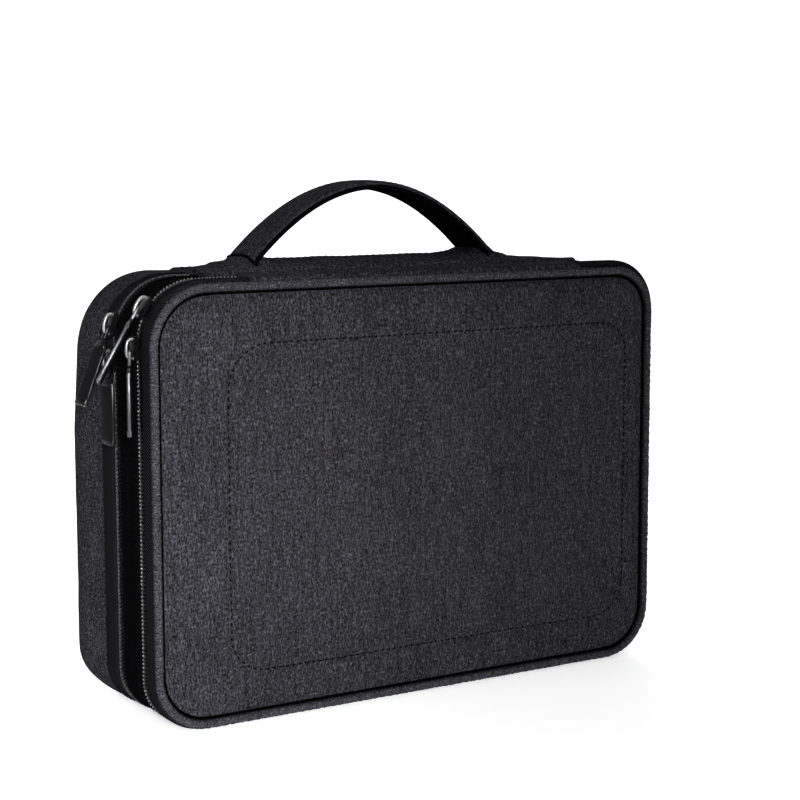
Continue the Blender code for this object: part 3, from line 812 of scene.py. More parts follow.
def zips():
    """Four rows of teeth with their tapes, two rows to a zip."""
    front, rear = (tuple(length_at_top(x) for x in ends) for ends in (FRONT_ZIP_ENDS, REAR_ZIP_ENDS))
    rows = (
        ("front_zip_teeth_front", FRONT_ZIP_Y, -1, front, "front_lid", TEETH, 0.0, 0.0),
        ("front_zip_teeth_back", FRONT_ZIP_Y, 1, front, "middle_leaf", TEETH_BLACK, 0.5, 0.5 * MM),
        ("rear_zip_teeth_front", REAR_ZIP_Y, -1, rear, "middle_leaf", TEETH_DIM, 0.0, 0.0),
        ("rear_zip_teeth_back", REAR_ZIP_Y, 1, rear, "rear_case", TEETH_DIM, 0.5, 0.0),
    )
    for node, y, side, ends, body, material, phase, drop in rows:
        teeth(node, y, side, ends, body, material, phase, drop)
        zip_tape("tape_under_" + node, y, side, 4.2 * MM, ends, body)
        # the tape ends past the last tooth, sewn under the cloth
        for k, (end, way) in enumerate(zip(ends, (-1, 1))):
            tail = tuple(sorted((end, end + way * 5 * MM)))
            zip_tape(f"tape_tail_{node}_{k + 1}", y, side, 3.4 * MM, tail, body)


# ---------------------------------------------------------------- shell

def wrinkled(size, lengths, seed, y0, y1):
    """A move for sweep() that ripples the outer side of a band."""
    def move(s, rise, depth):
        inside = np.clip((depth - y0) / (y1 - y0), 0, 1)
        shape = np.sin(np.pi * inside)
        wave = ripple(s + 0.6 * (depth - y0), lengths, seed)
        return rise + size * wave * shape * (rise > rise.min() + 0.3 * MM), depth
    return move


def lid_shell():
    """Piping, seam, side tape and quilted front panel of the lid."""
    y0, _ = depths("lid_piping")
    middle = y0 + PIPING

    def creases(s, rise, depth):
        turn_rise, turn_depth = rise + PIPING, depth - middle
        size = (1 + 0.11 * ripple(s + 0.3 * turn_depth, mm(1.5, 2.4, 4.1), 3)
                + 0.03 * ripple(s, mm(17, 29), 4))
        return -PIPING + turn_rise * size, middle + turn_depth * size

    lid_rim = rim(LID_SHAPE)
    piping = sweep("lid_piping_cord", round_section(-PIPING, middle, PIPING, 16), 0.55 * MM, None, creases,
                   lid_rim)
    finish_piece(piping, PIPING_FABRIC, "front_lid", ("lid_piping",), 80)
    # a dark band in the groove behind the piping: painted shadow
    seam = sweep("lid_seam_groove", band_section(middle + 0.4 * MM, middle + 2.2 * MM, -3.4 * MM,
                 3.2 * MM, 0, 16), 3 * MM, None, None, lid_rim)
    finish_piece(seam, SEAM_SHADOW, "front_lid")

    y0, y1 = depths("lid_band")
    y0 -= 1.5 * MM
    fine = wrinkled(0.12 * MM, mm(9, 21), 8, y0, y1)

    def raised(s, rise, depth):
        """The tape stands up behind the piping past the right end of the hinge."""
        rise, depth = fine(s, rise, depth)
        start, stop = RIM_LENGTH - FRONT_ZIP_ENDS[1] + 2 * MM, RIM_LENGTH - 175 * MM
        ease = np.clip((start - s) / (5 * MM), 0, 1) * np.clip((s - stop) / (25 * MM), 0, 1)
        return rise + 1.3 * MM * ease * (rise > -0.75 * MM), depth

    band = sweep("lid_side_tape", band_section(y0, y1, -0.1 * MM, 1.3 * MM, 0.15 * MM, 48), 1.5 * MM, None,
                 raised)
    finish_piece(band, TAPE, "front_lid", ("lid_band",))

    shape = inset_shape(2 * PIPING + 1.5 * MM, LID_SHAPE)
    panel = padded_panel("lid_panel_fabric", shape, -36.9 * MM, -39.4 * MM, 10 * MM, FABRIC, "front_lid",
                         ("lid_panel",), 1.1 * MM, quilted=True)
    sew("lid_quilt_stitching", panel, quilt_path(-50 * MM), (0, -1, 0), "front_lid", length=2.2 * MM,
        gap=1.0 * MM, radius=0.42 * MM, closed=True)


def middle_shell():
    """The middle leaf's side band with a row of stitches along each edge."""
    y0, y1 = depths("middle_band")
    band = sweep("middle_band_fabric", band_section(y0, y1, -0.2 * MM, 1.4 * MM, -0.5 * MM, 48), 1.5 * MM,
                 None, wrinkled(0.3 * MM, mm(13, 27, 44), 12, y0, y1))
    finish_piece(band, BAND, "middle_leaf", ("middle_band",))
    for k, y in enumerate((y0 + 1.6 * MM, y1 - 1.6 * MM)):
        s = np.arange(0, RIM_LENGTH, 1.5 * MM)
        at, out = along(s)
        path, normal = at_depth(at - out * 0.25 * MM, y), at_depth(out, 0)
        stitches(f"middle_band_stitching_{k + 1}", path, normal, "middle_leaf", closed=True,
                 slot="zip_tape")


def rear_shell():
    """Side tape, edge fold, gusset and back panel of the tray."""
    y0, y1 = depths("rear_zip_tape")
    tape = sweep("rear_side_tape", band_section(y0, y1, -0.15 * MM, 1.3 * MM, 0.2 * MM), 1.5 * MM, None,
                 wrinkled(0.15 * MM, mm(9, 23), 15, y0, y1))
    finish_piece(tape, TAPE, "rear_case", ("rear_zip_tape",))

    def forward(s, rise, depth):
        """The fold follows the gusset's front edge."""
        out = along(s[:, 0])[1][:, 1:]
        return rise + 0.08 * MM * ripple(s, mm(2, 3.4), 6), depth - forward_at(out)

    section = round_section(-0.25 * MM, y1 + 0.5 * MM, 0.75 * MM, 10)
    fold = sweep("rear_edge_fold", section, 1.0 * MM, None, forward)
    # the fold's round lies wholly outside the piping's pale middle, so the painted shade leaves it at the
    # dark yarn's colour all round
    finish_piece(fold, PIPING_FABRIC, "rear_case")
    rear_gusset()
    shape = inset_shape(0.9 * MM, BACK_SHAPE)
    padded_panel("rear_panel_fabric", shape, 35.4 * MM, 39.6 * MM, 11 * MM, FABRIC_SHADED, "rear_case",
                 ("rear_panel",), 1.4 * MM, 4 * MM, 5)


def forward_at(out):
    """How far the gusset reaches over the tape, which is only along the top."""
    return 5.5 * MM * np.clip((out - 0.1) / 0.5, 0, 1)


def rear_gusset():
    """The fabric side of the tray, which draws in towards the back and sags a little."""
    y0, y1 = depths("rear_gusset")
    front, back = rim(SHAPE, 1.5 * MM), rim(BACK_SHAPE, 1.5 * MM)
    stations = 22
    t = np.concatenate([np.linspace(0, 1, stations), np.linspace(1, 0, 8)])
    outer = np.concatenate([np.ones(stations), np.zeros(8)])
    # the outline at the same place of both rims, mixed by how far back it is
    count = min(len(front[0]), len(back[0]))
    s = np.linspace(0, 1, count, endpoint=False)
    s_front = s * front[3]
    p0, n0 = along(s_front, front)
    p1, n1 = along(s * back[3], back)
    spots = []
    for k, share in enumerate(t):
        ease = share ** 1.7
        p = p0 * (1 - ease) + p1 * ease
        n = n0 * (1 - ease) + n1 * ease
        n /= np.linalg.norm(n, axis=1, keepdims=True)
        y = y0 + 0.3 * MM + (y1 + 1.6 * MM - y0) * share - forward_at(n0[:, 1]) * (1 - share) ** 2
        rise = 0.0 if outer[k] else -1.3 * MM
        if outer[k]:
            swell = math.sin(math.pi * share)
            lower = np.clip((TOP - 24 * MM - p[:, 1]) / (45 * MM), 0, 1) * np.abs(n[:, 0]) ** 4
            sag = lower * min(1, max(0, share - 0.2) / 0.4) * (1 - max(0, share - 0.93) / 0.14)
            rise = (2.5 * MM * sag + 0.35 * MM * swell * (1 + ripple(s_front, mm(55, 90), 21))
                    + 0.22 * MM * swell * ripple(s_front + 0.5 * y, mm(16, 31), 22)
                    - 1.2 * MM * max(0, share - 0.9) / 0.1 - 0.5 * MM * max(0, 0.06 - share) / 0.06)
        flat = p + n * np.asarray(rise)[..., None]
        spots.append(np.stack([flat[:, 0], y, np.maximum(flat[:, 1], 0)], -1))
    points = np.stack(spots, 1)
    v = np.append(0, np.cumsum(np.full(len(t) - 1, (y1 - y0) / stations)))
    piece = outward(grid_mesh("rear_gusset_fabric", points, s_front, v, True, True))
    turn_cloth(piece)
    finish_piece(piece, FABRIC_SHADED, "rear_case", ("rear_gusset",))
    seam, normal = at_depth(p1 - n1 * 0.9 * MM, y1 + 1.1 * MM), at_depth(n1, 0.9)
    stitches("rear_seam_stitching", seam, normal, "rear_case", closed=True)


# ---------------------------------------------------------------- spine, hinges and handle

def straight(x0, x1, y, z, step=2 * MM):
    x = np.arange(x0, x1, step)
    return np.stack([x, np.full(len(x), y), np.full(len(x), z)], -1)


def spine_height(x, y):
    """The top of the spine's cloth: a mound at each foot of the handle and a ridge in front."""
    (_, y0, _), (_, _, z1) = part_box("spine_panel")
    left, right = (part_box(f"handle_anchor_{side}") for side in ("left", "right"))
    feet = (left[0].x + left[1].x) / 2, (right[0].x + right[1].x) / 2
    middle_y = (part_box("handle_strap")[0].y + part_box("handle_strap")[1].y) / 2
    height = np.full(np.shape(x), z1 - 0.4 * MM)
    for foot, way in zip(feet, (-1, 1)):
        away = (x - foot) * way
        spread = np.where(away > 0, 19 * MM, 9 * MM)
        height = height + 2.9 * MM * np.exp(-((away - 2 * MM) / spread) ** 2) * np.exp(
            -((y - middle_y - 1 * MM) / (13 * MM)) ** 4)
    between = np.clip((x - feet[0] + 9 * MM) / (14 * MM), 0, 1) * np.clip(
        (feet[1] + 25 * MM - x) / (28 * MM), 0, 1)
    behind = np.clip((y - y0 - 3 * MM) / (11 * MM), 0, 1)
    height = height + 2.6 * MM * between ** 1.5 * behind ** 1.3
    front = y - (y0 + 1.6 * MM)
    height = height + 1.1 * MM * np.exp(-((front / (1.8 * MM)) ** 2)) - 0.5 * MM * np.clip(
        (y - 9 * MM) / (20 * MM), 0, 1) ** 1.2
    return height + 0.22 * MM * ripple2(x, y, 24 * MM, 3)


def top_fabric():
    """The spine over the top and the hinge of the lid."""
    (x0, y0, _), (x1, _, z1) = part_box("spine_panel")
    # one cloth over the middle leaf's top, its hinge and the tray's top edge
    back = 27 * MM
    xs, ys = np.linspace(-1, 1, 150), np.linspace(y0, back, 60)
    gx, gy = np.meshgrid(xs, ys, indexing="ij")
    draw_in = 1 - 0.07 * np.clip((gy - y0) / (back - y0), 0, 1)
    wide = gx * x1 * draw_in
    top = spine_height(wide, gy)
    inside = np.minimum((1 - np.abs(gx)) * x1, np.minimum(gy - y0, back - gy))
    roll = np.clip(inside / (2.2 * MM), 0, 1)
    low = TOP + 0.15 * MM
    top = low + (top - low) * (1 - (1 - roll) ** 2.2)
    spine = grid_mesh("spine_fabric", np.stack([wide, gy, top], -1), xs * x1, ys)
    thicken(spine, 0.9 * MM)
    finish_piece(spine, FABRIC_SHADED, None, ("spine_panel",))
    rows = ((y0 + 3.4 * MM, "middle_leaf", 4 * MM), (y0 + 5.4 * MM, "middle_leaf", 4 * MM),
            (back - 2.4 * MM, "rear_case", 11 * MM))
    for k, (y, body, short) in enumerate(rows):
        path = straight(x0 + short, x1 - short, y, z1 + 8 * MM)
        sew(f"spine_stitching_{k + 1}", spine, path, (0, 0, 1), body)
    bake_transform(spine)

    # the hinge of the lid: one cloth from behind the piping up to the spine
    a0, a1 = FRONT_ZIP_ENDS
    front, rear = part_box("lid_band")[0].y - 2.4 * MM, y0 + 1.5 * MM
    xs, ys = np.linspace(a0 - 1.5 * MM, a1 + 1.5 * MM, 140), np.linspace(front, rear, 22)
    gx, gy = np.meshgrid(xs, ys, indexing="ij")
    share = (gy - front) / (rear - front)
    top = TOP + 0.4 * MM + 1.1 * MM * share ** 1.4 + 0.12 * MM * ripple2(gx, gy, 20 * MM, 9)
    top = top - 1.9 * MM * np.clip(1 - (gy - front) / (1.3 * MM), 0, 1) ** 1.6
    side = np.clip(np.minimum(gx - xs[0], xs[-1] - gx) / (2 * MM), 0, 1)
    top = top - 0.7 * MM * (1 - side) ** 2
    hinge_cloth = grid_mesh("lid_hinge_fabric", np.stack([gx, gy, top], -1), xs, ys)
    thicken(hinge_cloth, 0.8 * MM)
    finish_piece(hinge_cloth, FABRIC_SHADED, None, ("lid_hinge_strip",))
    rows = ((front + 1.3 * MM, "front_lid"), (front + 3.2 * MM, "front_lid"),
            (rear - 2.4 * MM, "middle_leaf"))
    for k, (y, body) in enumerate(rows):
        path = straight(a0 + 1 * MM, a1 - 1 * MM, y, TOP + 8 * MM)
        sew(f"hinge_stitching_{k + 1}", hinge_cloth, path, (0, 0, 1), body)
    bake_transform(hinge_cloth)


def handle():
    """The strap of melange fabric and its black lining, which both bend at their feet."""
    low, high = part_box("handle_lining")
    outer_low, outer_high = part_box("handle_strap")
    middle_x = (low.x + high.x) / 2
    reach = (high.x - low.x) / 2
    foot = low.z
    rise = high.z - low.z - 1.2 * MM
    y0, y1 = outer_low.y, outer_high.y
    middle_y, half = (y0 + y1) / 2, (y1 - y0) / 2
    t = np.linspace(-1, 1, 91)
    tail = np.linspace(3.4 * MM, 0.4 * MM, 5)

    def arch(lift):
        """The strap's line, which goes on down into the cloth at both feet."""
        slope = np.arctan2(-2 * rise * t, reach)
        x = middle_x + reach * t - lift * np.sin(slope)
        z = foot + rise * (1 - t * t) + lift * np.cos(slope)
        left = x[0] - tail * 0.35, z[0] - tail
        right = x[-1] + tail[::-1] * 0.35, z[-1] - tail[::-1]
        return np.concatenate([left[0], x, right[0]]), np.concatenate([left[1], z, right[1]])

    def layer(name, lift, thick, width, material, node, crown):
        section = band_section(-width, width, thick / 2, thick, crown, 40, 0.3, 0.35)
        rows = []
        for up, across in section:
            x, z = arch(lift + thick / 2 + up)
            narrow = np.pad(1 - 0.05 * (1 - t * t) ** 2, len(tail), mode="edge")
            rows.append(np.stack([x, middle_y + across * narrow, z], -1))
        points = np.stack(rows, 1)
        s_at = lengths_along(points[:, 0])
        v = lengths_along(np.array(section))
        piece = outward(grid_mesh(name, points, s_at, v, False, True, True))
        turn_cloth(piece)
        return finish_piece(piece, material, None, (node,))

    strap = layer("handle_strap_fabric", 1.3 * MM, 2.0 * MM, half - 0.7 * MM, FABRIC_SHADED, "handle_strap",
                  0.4 * MM)
    lining = layer("handle_underside", -0.6 * MM, 2.2 * MM, half, UNDERSIDE, "handle_lining", 0)
    x, z = arch(3.3 * MM)
    x, z = x[len(tail):-len(tail)], z[len(tail):-len(tail)]
    slope = np.arctan2(-2 * rise * t, reach)
    normal = np.stack([-np.sin(slope), np.zeros(len(t)), np.cos(slope)], -1)
    keep = slice(4, -4)
    for k, y in enumerate((middle_y - half + 2.6 * MM, middle_y + half - 2.6 * MM)):
        path = np.stack([x, np.full(len(t), y), z], -1)[keep] - normal[keep] * 0.05 * MM
        stitches(f"handle_stitching_{k + 1}", path, normal[keep], "handle")
    for piece in (strap, lining):
        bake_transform(piece)
    for side, name in ((-1, "left"), (1, "right")):
        foot_patch(side, name)
        y = np.linspace(y0 + 0.2 * MM, y1 - 0.2 * MM, 30)
        x_at = middle_x + side * (reach + 2.9 * MM)
        z_at = spine_height(np.full(30, x_at), y) + 1.9 * MM
        path = np.stack([np.full(30, x_at), y, z_at], -1)
        # a dark bar along the slit where the strap goes into the cloth: painted shadow
        slit = round_bar(f"handle_slit_{name}", path, (1, 0, 0), (0, 0, 1), 0.8 * MM, 8)
        finish_piece(slit, SEAM_SHADOW, "middle_leaf")


def foot_patch(side, name):
    """The reinforcement that a foot of the handle comes up through, with a rolled lip round it."""
    (x0, y0, _), (x1, y1, _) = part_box(f"handle_anchor_{name}")
    middle = (x0 + x1) / 2
    xs, ys = np.linspace(x0, x1, 46), np.linspace(y0, y1 - 0.3 * MM, 36)
    gx, gy = np.meshgrid(xs, ys, indexing="ij")
    inside = np.minimum(np.minimum(gx - x0, x1 - gx), np.minimum(gy - ys[0], ys[-1] - gy))
    roll = 1 - (1 - np.clip(inside / (1.6 * MM), 0, 1)) ** 2
    away = (gx - middle) * side
    lip = 1.5 * MM * np.exp(-((away - 3.2 * MM) / (2.4 * MM)) ** 2) + 0.5 * MM * np.exp(
        -((away + 2.5 * MM) / (2 * MM)) ** 2)
    top = spine_height(gx, gy) + (0.6 * MM + lip) * roll - 0.3 * MM * (1 - roll)
    patch = grid_mesh(f"handle_foot_patch_{name}", np.stack([gx, gy, top], -1), xs, ys)
    thicken(patch, 0.8 * MM)
    finish_piece(patch, FABRIC_SHADED, "middle_leaf", (f"handle_anchor_{name}",))
    corners = [(x0 + 2 * MM, ys[0] + 2 * MM), (x1 - 2 * MM, ys[0] + 2 * MM),
               (x1 - 2 * MM, ys[-1] - 2 * MM), (x0 + 2 * MM, ys[-1] - 2 * MM)]
    dots = [np.array(a) + (np.array(b) - np.array(a)) * k
            for a, b in zip(corners, corners[1:] + corners[:1]) for k in np.arange(0, 1, 0.06)]
    sew(f"handle_foot_stitching_{name}", patch, np.array([(*at, TOP + 15 * MM) for at in dots]), (0, 0, 1),
        "middle_leaf", length=2.2 * MM, gap=1.0 * MM, closed=True)


# ---------------------------------------------------------------- sliders and pulls

def plate(name, outline, holes, thick, bevel, segments=2):
    """A flat plate from an outline and holes, with bevelled edges, lying across local X."""
    curve = bpy.data.curves.new(name, "CURVE")
    curve.dimensions = "2D"
    curve.fill_mode = "BOTH"
    curve.extrude = thick / 2
    for loop in (outline, *holes):
        spline = curve.splines.new("POLY")
        spline.points.add(len(loop) - 1)
        for point, (u, v) in zip(spline.points, loop):
            point.co = (u, v, 0, 1)
        spline.use_cyclic_u = True
    flat = link_mesh(name, curve)
    bpy.context.view_layer.update()
    mesh = bpy.data.meshes.new_from_object(flat.evaluated_get(bpy.context.evaluated_depsgraph_get()))
    bpy.data.objects.remove(flat)
    piece = link_mesh(name, mesh)
    shape = bmesh.new()
    shape.from_mesh(mesh)
    bmesh.ops.remove_doubles(shape, verts=shape.verts, dist=0.00001)
    bmesh.ops.dissolve_limit(shape, angle_limit=0.02, verts=shape.verts, edges=shape.edges)
    shape.to_mesh(mesh)
    shape.free()
    edge = piece.modifiers.new("edge", "BEVEL")
    edge.width = bevel
    edge.segments = segments
    edge.limit_method = "ANGLE"
    edge.angle_limit = math.radians(50)
    apply_modifiers(piece)
    # the narrow faces round the plate take the second material
    for face in piece.data.polygons:
        face.material_index = 0 if abs(face.normal.z) > 0.8 else 1
    # local: U of the outline along Y, V along Z, thickness along X
    piece.data.transform(Matrix(((0, 0, 1, 0), (1, 0, 0, 0), (0, 1, 0, 0), (0, 0, 0, 1))))
    return outward(piece)


def rounded_box(half_u, low, high, radius, steps=5):
    """The outline of a rounded rectangle in a plate's own U and V."""
    points = []
    corners = ((half_u - radius, high - radius, 0), (-half_u + radius, high - radius, 90),
               (-half_u + radius, low + radius, 180), (half_u - radius, low + radius, 270))
    for u, v, start in corners:
        for k in range(steps + 1):
            a = math.radians(start + 90 * k / steps)
            points.append((u + radius * math.cos(a), v + radius * math.sin(a)))
    return points


def joined(name, pieces):
    """One piece from several meshes, each still closed."""
    shape = bmesh.new()
    for piece in pieces:
        shape.from_mesh(piece.data)
        bpy.data.objects.remove(piece)
    mesh = bpy.data.meshes.new(name)
    shape.to_mesh(mesh)
    shape.free()
    return link_mesh(name, mesh)


def slider(name, matrix):
    """A slider at a matrix whose X points out of the zip and Z up along it."""
    right = [(2.2, 5.0), (3.9, 3.6), (4.1, 1.2), (3.5, -2.0), (3.3, -4.4), (2.6, -5.0)]
    shield = [(0, 5.2)] + right + [(-u, v) for u, v in reversed(right)]
    shield = [(u * MM, v * MM) for u, v in shield]
    small = [(u * 0.86, v * 0.96) for u, v in shield]
    post = rounded_box(0.3 * MM, -1.0 * MM, 4.8 * MM, 0.2 * MM)
    rail = rounded_box(0.35 * MM, -4.4 * MM, 2.8 * MM, 0.3 * MM)
    # each plate's outline, thickness and bevel, and its place out of the zip and across it
    plates = (
        (shield, *mm(0.9, 0.25, 1.3, 0)), (small, *mm(0.7, 0.2, -3.8, 0)), (post, *mm(4.6, 0.08, -1.3, 0)),
        (rail, *mm(0.8, 0.15, 0.75, -3.25)), (rail, *mm(0.8, 0.15, 0.75, 3.25)),
    )
    pieces = []
    for outline, thick, bevel, out, across in plates:
        pieces.append(plate("plate", outline, (), thick, bevel))
        pieces[-1].data.transform(Matrix.Translation((out, across, 0)))
    body = joined(name + "_metal", pieces)
    body.data.transform(matrix)
    cloth_map(body)
    finish_piece(body, METAL, name, (name + "_body",), 30)

    turns = np.linspace(-math.pi / 2, math.pi / 2, 15)
    foot, reach = 1.75 * MM, 4.0 * MM
    arch = [(foot + 3.0 * MM * max(math.cos(a), 0) ** 0.55, 0, reach * math.sin(a)) for a in turns]
    path = np.array([(1.2 * MM, 0, -reach), *arch, (1.2 * MM, 0, reach)])
    way = np.gradient(path, axis=0)
    up = np.cross(way, (0, 1, 0))
    up /= np.linalg.norm(up, axis=1, keepdims=True)
    bridge = round_bar(name + "_loop", path, (0, 1, 0), up, 0.72 * MM)
    bridge.data.transform(matrix)
    cloth_map(bridge)
    finish_piece(bridge, BRIGHT, name, (name + "_bridge",), 60)


def pull(name, matrix, edge, length=37 * MM):
    """A pull hanging from the bar at a matrix: metal frame, moulded insert and end clasp."""
    half, head = 5.6 * MM, 3.3 * MM
    bar = 0.6 * MM
    outline = ([(-head, bar), (head, bar), (head, -7.6 * MM), (head + 0.6 * MM, -8.6 * MM),
                (half - 0.4 * MM, -9.2 * MM), (half, -10 * MM)]
               + [(half, -length + 2.2 * MM), (half - 0.5 * MM, -length + 1.1 * MM),
                  (half - 1.6 * MM, -length + 0.7 * MM)])
    outline = outline + [(-u, v) for u, v in reversed(outline)]
    eye = rounded_box(1.8 * MM, -7.2 * MM, -bar, 0.8 * MM, 3)
    window = rounded_box(half - 1.0 * MM, -length + 3.4 * MM, -10.8 * MM, 0.8 * MM, 3)
    metal = plate(name + "_metal", outline[2:-2], (eye, window), 1.3 * MM, 0.3 * MM)
    cap = plate("cap", rounded_box(half - 0.2 * MM, -length + 1.0 * MM, -length + 3.9 * MM, 0.6 * MM, 3),
                (), 1.9 * MM, 0.4 * MM)
    collar = plate("collar", rounded_box(half - 0.6 * MM, -11.4 * MM, -9.4 * MM, 0.5 * MM, 3), (),
                   1.8 * MM, 0.35 * MM)
    frame_piece = joined(name + "_metal", [metal, cap, collar])
    frame_piece.data.transform(matrix)
    cloth_map(frame_piece)
    finish_piece(frame_piece, (METAL, edge), name, (name + "_frame",), 30)

    pad = plate(name + "_grip", rounded_box(half - 0.8 * MM, -length + 3.3 * MM, -10.9 * MM, 0.9 * MM, 4),
                (), 2.0 * MM, 0.7 * MM, 4)
    pad.data.transform(matrix)
    cloth_map(pad)
    finish_piece(pad, RUBBER, name, (name + "_insert",), 40)


def slider_sets():
    """Two sliders with their pulls on each zip."""
    joints = {j["name"]: j for j in frame["joints"]}
    for prefix, zip_y, twists in (("front", FRONT_ZIP_Y, (-31, -29)), ("rear", REAR_ZIP_Y, (0, 0))):
        for place, twist in zip(("lower", "upper"), twists):
            at = Vector(joints[f"{prefix}_pull_{place}_swing"]["pos_m"])
            if place == "lower":
                lean = hang = 0.0
                out = Vector((-1, 0, 0))
                centre = Vector((-HALF, zip_y, at.z))
            else:
                corner = Vector((-HALF + CORNER, zip_y, TOP - CORNER))
                out = (at - corner).normalized()
                lean = math.atan2(out.z, -out.x)
                centre = corner + out * CORNER
                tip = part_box(f"{prefix}_pull_upper_frame")[0]
                hang = math.atan2(at.x - tip.x, at.z - tip.z)
            base = Matrix.Rotation(lean, 4, "Y") @ Matrix.Rotation(math.pi, 4, "Z")
            slider(f"{prefix}_slider_{place}", Matrix.Translation(centre) @ base)
            shift = out * (0.7 * MM if twist else 0.15 * MM)
            turn = (Matrix.Rotation(hang, 4, "Y") @ Matrix.Rotation(math.pi, 4, "Z")
                    @ Matrix.Rotation(math.radians(twist), 4, "Z"))
            # the front pulls' rims take the paler copy, painted highlight, and the rear pulls' rims the
            # darker one, painted shade
            edge = EDGE if twist else EDGE_DIM
            pull(f"{prefix}_pull_{place}", Matrix.Translation(at + shift) @ turn, edge)


# ---------------------------------------------------------------- inside

def inner_band(name, y0, y1, top, thick, material, body):
    """A band of cloth that follows the outline inside the shell."""
    piece = sweep(name, band_section(y0, y1, top, thick, 0, 24), 3 * MM)
    finish_piece(piece, material, body)


def pad_box(name, node, body, material):
    """A padded board in the place of a CAD box: rounded edges and crowned faces."""
    crown, radius, step = 1.0 * MM, 1.6 * MM, 5 * MM
    low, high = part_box(node)
    size = high - low
    shape = bmesh.new()
    bmesh.ops.create_cube(shape, size=1)
    bmesh.ops.scale(shape, vec=size - Vector((0.4 * MM,) * 3), verts=shape.verts)
    bmesh.ops.translate(shape, vec=(low + high) / 2, verts=shape.verts)
    mesh = bpy.data.meshes.new(name)
    shape.to_mesh(mesh)
    shape.free()
    piece = link_mesh(name, mesh)
    edge = piece.modifiers.new("edge", "BEVEL")
    edge.width = radius
    edge.segments = 3
    apply_modifiers(piece)
    shape = bmesh.new()
    shape.from_mesh(piece.data)
    for axis in range(3):
        cuts = int(size[axis] / step)
        for k in range(1, cuts):
            place = low.copy()
            place[axis] = low[axis] + size[axis] * k / cuts
            way = Vector((0, 0, 0))
            way[axis] = 1
            bmesh.ops.bisect_plane(shape, geom=shape.verts[:] + shape.edges[:] + shape.faces[:],
                                   plane_co=place, plane_no=way)
    shape.to_mesh(piece.data)
    shape.free()
    thin = min(range(3), key=lambda k: size[k])
    middle = (low + high) / 2
    for vertex in piece.data.vertices:
        at = vertex.co
        share = 1.0
        for axis in range(3):
            if axis != thin:
                share *= max(0.0, 1 - (2 * (at[axis] - middle[axis]) / size[axis]) ** 2) ** 0.4
        wave = ripple2(np.array(at[(thin + 1) % 3]), np.array(at[(thin + 2) % 3]), 30 * MM, len(name))
        side = 1 if at[thin] > middle[thin] else -1
        at[thin] -= side * crown * (1 - share) * 0.5
        at[thin] += side * 0.12 * MM * float(wave) * share
    return finish_piece(cloth_map(piece), material, body, (node,), 50)


def tray_lining():
    """Padded wall, floor, rim binding and dividers of the tray."""
    y0, y1 = depths("tray_wall_padding")
    low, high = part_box("tray_wall_padding")
    radius = 33 * MM
    shape = (high.x, low.z, high.z, radius, radius)
    table = rim(shape)
    thick = 4.2 * MM
    section = band_section(y0 - 0.8 * MM, y1, 0, thick, 0, 44, 0.3)

    def puffs(s, rise, depth):
        inner = rise < -thick * 0.6
        return rise - 0.35 * MM * inner * ripple(s + 0.4 * depth, mm(26, 41), 33), depth

    wall = sweep("tray_wall_lining_fabric", section, 2.5 * MM, None, puffs, table)
    finish_piece(wall, LINING, "rear_case", ("tray_wall_padding", "tray_wall_lining"), 60)
    lip_y = depths("rear_zip_tape")[0]
    inner_band("tray_rim_binding", lip_y - 0.6 * MM, lip_y + 1.2 * MM, -1.5 * MM, 5.4 * MM, BAND,
               "rear_case")
    inset = 4.6 * MM
    low_floor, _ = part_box("tray_floor_lining")
    flat = (high.x - inset, low.z + inset, high.z - inset, radius - inset, radius - inset)
    padded_panel("tray_floor_fabric", flat, low_floor.y + 0.9 * MM, low_floor.y + 0.1 * MM, 6 * MM, LINING,
                 "rear_case", ("tray_floor_lining", "tray_floor_board"), 0.6 * MM, 6 * MM, 17)
    for name in ("left", "right", "middle", "side"):
        divider = pad_box(f"tray_divider_{name}_padded", f"tray_divider_{name}", "rear_case", PAD)


def hung_cloth(name, node, rows, columns, depth, thickness, material, body):
    """A thin cloth over a CAD box's face, at the Y that depth gives for its shares and places."""
    low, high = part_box(node)
    x, z = np.linspace(low.x, high.x, rows), np.linspace(low.z, high.z, columns)
    gx, gz = np.meshgrid(x, z, indexing="ij")
    y = depth((gx - low.x) / (high.x - low.x), (gz - low.z) / (high.z - low.z), gx, gz)
    piece = grid_mesh(name, np.stack([gx, y, gz], -1), x, z)
    return finish_piece(thicken(piece, thickness, 0), material, body, (node,))


def elastic(name, node, body, bumps, lift):
    """A flat elastic strip, tacked down at even places and lifted between them."""
    low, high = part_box(node)

    def waves(across, *_):
        return high.y - 0.5 * MM - lift * np.abs(np.sin(np.pi * bumps * across)) ** 0.6

    hung_cloth(name, node, 121, 9, waves, 0.7 * MM, ELASTIC, body)
    for k in range(bumps + 1):
        at = low.x + (high.x - low.x) * k / bumps
        at = min(max(at, low.x + 1 * MM), high.x - 1 * MM)
        zs = np.arange(low.z + 1.5 * MM, high.z - 1.5 * MM, 1.5 * MM)
        path = np.stack([np.full(len(zs), at), np.full(len(zs), high.y - 0.95 * MM), zs], -1)
        stitches(f"{name}_tack_{k + 1}", path, (0, -1, 0), body, 1.6 * MM, 0.8 * MM, 0.2 * MM,
                 material=ELASTIC)


def net_pocket(name, node, body, sag, facing):
    """A sheet of mesh, sewn down at its sides and foot and slack at its mouth."""
    low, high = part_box(node)

    def slack(across, up, x, z):
        hang = facing * sag * np.sin(np.pi * across) * np.sin(np.pi * up / 2) ** 0.7
        uneven = 0.2 * MM * ripple2(x, z, 22 * MM, len(name)) * np.sin(np.pi * across)
        return (low.y + high.y) / 2 + hang + uneven

    piece = hung_cloth(name, node, 31, 49, slack, 0.35 * MM, NET, body)


